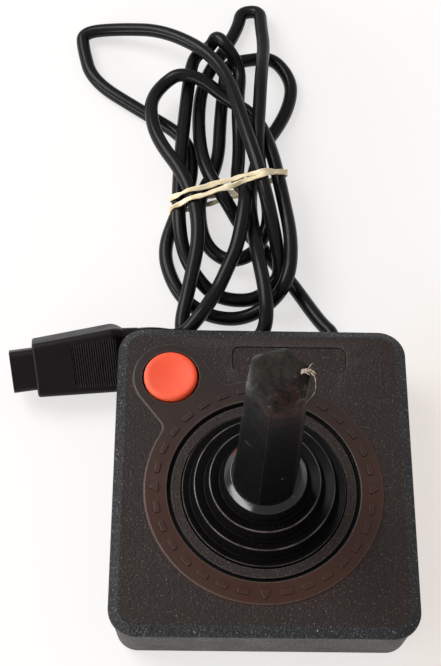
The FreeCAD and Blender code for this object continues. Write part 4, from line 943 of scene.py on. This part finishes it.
# Rubber band: two turns read from where the cord's line crosses their planes
def make_band(rubber, line):
    """Two flattened, twisted strands round the hank.

    Each lies in a plane that leans to the player as it rises. For every way in that plane, the
    crossing that reaches furthest carries the strand, a little clear of the cord.
    """
    band = Form()
    reach = norm(BAND_RIGHT - BAND_LEFT)
    middle = math.degrees(math.atan2(*(BAND_RIGHT - BAND_LEFT)[1::-1]))
    lean = math.radians(BAND_LEAN)
    for number, spread in enumerate((-BAND_SPREAD, BAND_SPREAD)):
        along = raised(heading(middle + spread), 0)
        level = np.array([-along[1], along[0], 0])
        across = level * math.cos(lean) + (0, 0, math.sin(lean))
        up = (0, 0, math.cos(lean)) - level * math.sin(lean)
        origin = BAND_RIGHT - along * reach
        side = (line - origin) @ across
        cut = np.flatnonzero(side[:-1] * side[1:] < 0)
        share = (side[cut] / (side[cut] - side[cut + 1]))[:, None]
        crossing = line[cut] + (line[cut + 1] - line[cut]) * share - origin
        spots = np.stack([crossing @ along, crossing @ up], 1)
        spots = spots[(spots[:, 0] > -BAND_PAST) & (spots[:, 0] < reach + BAND_PAST)]
        ways = heading(np.arange(0, 360, 2))
        loop = spots[np.argmax(spots @ ways.T, axis=0)] + ways * (CORD_RADIUS + BAND_CLEARANCE)
        loop = evened(np.concatenate([loop, loop[:1]]), 0.3)[:-1]
        outward = np.roll(loop, -1, 0) - np.roll(loop, 1, 0)
        outward = unit(np.stack([outward[:, 1], -outward[:, 0]], 1))
        turn = (np.arange(len(loop)) / len(loop) * TAU)[:, None]
        twist = 0.5 * np.sin(turn * 4 + number * 2) + 0.4 * np.sin(turn * 9 + number)
        wide = BAND_HALF_WIDTH + 0.12 * np.sin(turn * 7 + number * 3) + 0.06 * np.sin(turn * 23)
        shift = 0.3 * np.sin(turn * 2 + number * 1.3) + 0.12 * np.sin(turn * 11)
        shares, spokes = box_pattern(4, 2)
        flat_side = shares[:, 0] * (wide - BAND_CORNER) + spokes[:, 0] * BAND_CORNER
        rise = shares[:, 1] * BAND_FLAT + spokes[:, 1] * BAND_CORNER
        v = flat_side * np.cos(twist) - rise * np.sin(twist) + shift
        n = flat_side * np.sin(twist) + rise * np.cos(twist)
        plane = loop[:, None] + outward[:, None] * n[..., None]
        strand = origin + plane[..., :1] * along + plane[..., 1:] * up + v[..., None] * across
        strand[..., 2] = np.maximum(strand[..., 2], BAND_FLOOR)
        band.grid(strand, wrap_rows=True)
    return band.piece("band", [rubber], "case", "band_rubber", ["rubber_band"], sharp=70)


def paint(material, *names):
    """Give CAD nodes a finish."""
    for name in names:
        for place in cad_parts[name].material_slots:
            place.material = material


# Floor and light
def make_stage():
    """Pale floor that keeps the object's shadow, with a painted warm shade to the right of the case."""
    bpy.ops.mesh.primitive_plane_add(size=6)
    floor = bpy.context.object
    floor.name = "floor"
    f = Finish("pale floor", Roughness=0.9, Specular_IOR_Level=0)
    # Painted warm shade on the floor to the right of the case.
    painted_warm_shade = f.times(f.span(f.coordinate(0), 0.03, 0.07), f.span(f.coordinate(1), 0.09, 0.03),
                   f.span(f.noise(14), 0.3, 0.7, 0.7, 1))
    tone = f.mix(painted_warm_shade, (0.985, 0.975, 0.965), (1, 0.86, 0.76))
    f.set(Base_Color=tone)
    glow = f.node("ShaderNodeEmission", {"Color": tone, "Strength": 1})
    ray = f.tree.nodes.new("ShaderNodeLightPath").outputs
    seen = f.maths("ADD", ray["Is Camera Ray"], ray["Is Glossy Ray"])
    seen = f.maths("ADD", seen, ray["Is Transmission Ray"], clamp=True)
    links = {0: f.times(seen, 0.66), 1: f.shader.outputs[0], 2: glow.outputs[0]}
    mixed = f.node("ShaderNodeMixShader", links)
    f.feed(f.tree.nodes["Material Output"].inputs["Surface"], mixed.outputs[0])
    floor.data.materials.append(f.material)


def make_lamp(name, turn, height, distance, size, power):
    """Soft lamp (width, height) that looks at the object from a bearing and an elevation in degrees."""
    data = bpy.data.lights.new(name, "AREA")
    data.shape = "RECTANGLE"
    data.size, data.size_y = size
    data.energy = power
    lamp = placed(name, data)
    level = math.cos(math.radians(height)) * distance
    lamp.location = Vector((*(heading(turn) * level), math.sin(math.radians(height)) * distance))
    lamp.rotation_euler = (-lamp.location).to_track_quat("-Z", "Y").to_euler()


def make_light():
    """Dim white surroundings, a large lamp at the left and a long low one at the front left."""
    world = bpy.data.worlds.new("surroundings")
    world.use_nodes = True
    background = world.node_tree.nodes["Background"].inputs
    background["Color"].default_value = (1, 0.99, 0.985, 1)
    background["Strength"].default_value = 0.45
    scene.world = world
    make_lamp("left window", 150, 46, 1.6, (1, 1), 17.5)
    make_lamp("front left window", 212, 17, 1.4, (1.6, 0.24), 13)


make_camera()
GRAIN, HANDLING, SCRATCHES = make_grain(), make_handling(), make_scratches()

# Each lid finish's edge colour stands for rubbing, and partly a painted highlight on the rounded edges.
lid_finishes = [
    grained("lid top grain", (0.0245, 0.0155, 0.013), (0.2, 0.16, 0.135), 1700, 1, 0.0005, 0.46, 0.25,
            edge=(0.08, 0.068, 0.062)),
    # Bevel: its ground is darker than the top's, painted shade on the chamfer.
    grained("lid bevel grain and painted shade", (0.0085, 0.0078, 0.009), (0.34, 0.34, 0.35), 1500, 1, 0.001, 0.4, 0.4,
            edge=(0.024, 0.022, 0.024)),
    grained("frame satin", (0.047, 0.016, 0.0095), (0.09, 0.06, 0.05), 3000, 0.3, 0.00002, 0.34,
            edge=(0.12, 0.1, 0.09), rear=(0.0225, 0.0145, 0.0125)),
    # Groove shade: near black, painted shade in the groove, on the marks' sides and under the lid.
    grained("groove shade", (0.004, 0.004, 0.004), (0.02, 0.02, 0.02), 2000, 0.2, 0.00002, 0.6, 0.1),
]
boot_rubber = make_boot_rubber()
jacket = handled(
    "cord jacket", (0.005, 0.005, 0.0052), (0.09, 0.08, 0.07), (140, 0.3), (0.3, 0.44), (1700, 3, 0.6),
    0.00003, Coat_Weight=0.2, Coat_Roughness=0.14, Specular_IOR_Level=0.1)
plug_plastic = handled(
    "plug plastic", (0.0055, 0.0028, 0.0045), (0.06, 0.06, 0.06), (130, 0.25), (0.38, 0.5), (2400,),
    0.00002, rubs=(0.3, 1400, 0.3, (0.06, 0.06, 0.06)), Specular_IOR_Level=0.22)
collar_gloss = handled(
    "collar gloss", (0.006, 0.006, 0.007), (0.1, 0.1, 0.1), (220, 0.35), (0.12, 0.3), None, 0.00005,
    rubs=(0.6, 1500, 0.5, (0.25, 0.25, 0.25)), Coat_Weight=0.8, Coat_Roughness=0.17, Specular_IOR_Level=0.15)
button_plastic = handled(
    "button plastic", (0.92, 0.084, 0.027), (0.8, 0.25, 0.15), (130, 0.12), (0.45, 0.58), (2600,),
    0.000015, smudged=(0.95, 0.108, 0.042), Coat_Weight=0.1, Coat_Roughness=0.3)

cord, cord_line = make_cord(jacket)
make_lid(lid_finishes)
make_boot_half("boot_lower", "boot_outer_fold", boot_rubber, OUTER_FOLD)
make_boot_half("boot_upper", "boot_inner_fold", boot_rubber, INNER_FOLD)
make_collar(collar_gloss)
make_grip(make_grip_rubber())
make_strands(plain_finish("strand fibre", (0.5, 0.42, 0.34), (0.32, 0.25, 0.2), 900, 0.7))
make_button(button_plastic)
plug_shell = make_plug(plug_plastic)
band = make_band(make_band_rubber(), cord_line)
dome_steel = plain_finish("dome steel", (0.62, 0.61, 0.58), (0.5, 0.49, 0.46), 500, 0.3, 1)
make_domes(dome_steel)
make_spring(dome_steel)

paint(grained("lower shell grain", (0.036, 0.0265, 0.026), (0.26, 0.23, 0.23), 1400, 1, 0.0007, 0.5),
      "bottom_shell")
paint(lid_finishes[0], "top_plate")
paint(plug_plastic, "plug_nose", "plug_relief", "cord_strain_relief")
paint(jacket, "inner_cord")
screws = [f"case_screw_{number}" for number in range(1, 5)]
for looks, *names in (
    (("contact block", (0.012, 0.012, 0.013), (0.03, 0.03, 0.032), 400, 0.5), "plug_contacts"),
    (("board laminate", (0.02, 0.09, 0.04), (0.03, 0.12, 0.05), 250, 0.45), "circuit_board"),
    (("spacer film", (0.5, 0.5, 0.46), (0.42, 0.42, 0.38), 200, 0.4), "dome_film"),
    (("screw steel", (0.4, 0.39, 0.37), (0.3, 0.29, 0.27), 700, 0.35, 1), *screws),
    (("header plastic", (0.7, 0.68, 0.62), (0.62, 0.6, 0.54), 300, 0.5), "wire_header"),
    (("shaft plastic", (0.6, 0.58, 0.54), (0.52, 0.5, 0.46), 220, 0.5), "stick_shaft", "actuator_plate",
     "pivot_ball", "boot_clamp_ring"),
):
    paint(plain_finish(*looks), *names)
for number, tint in enumerate(WIRE_TINTS, 1):
    paint(plain_finish(f"wire {number}", tint, [0.8 * c for c in tint], 500, 0.4), f"wire_{number}")

make_stage()
make_light()
scene.view_settings.view_transform = "Standard"
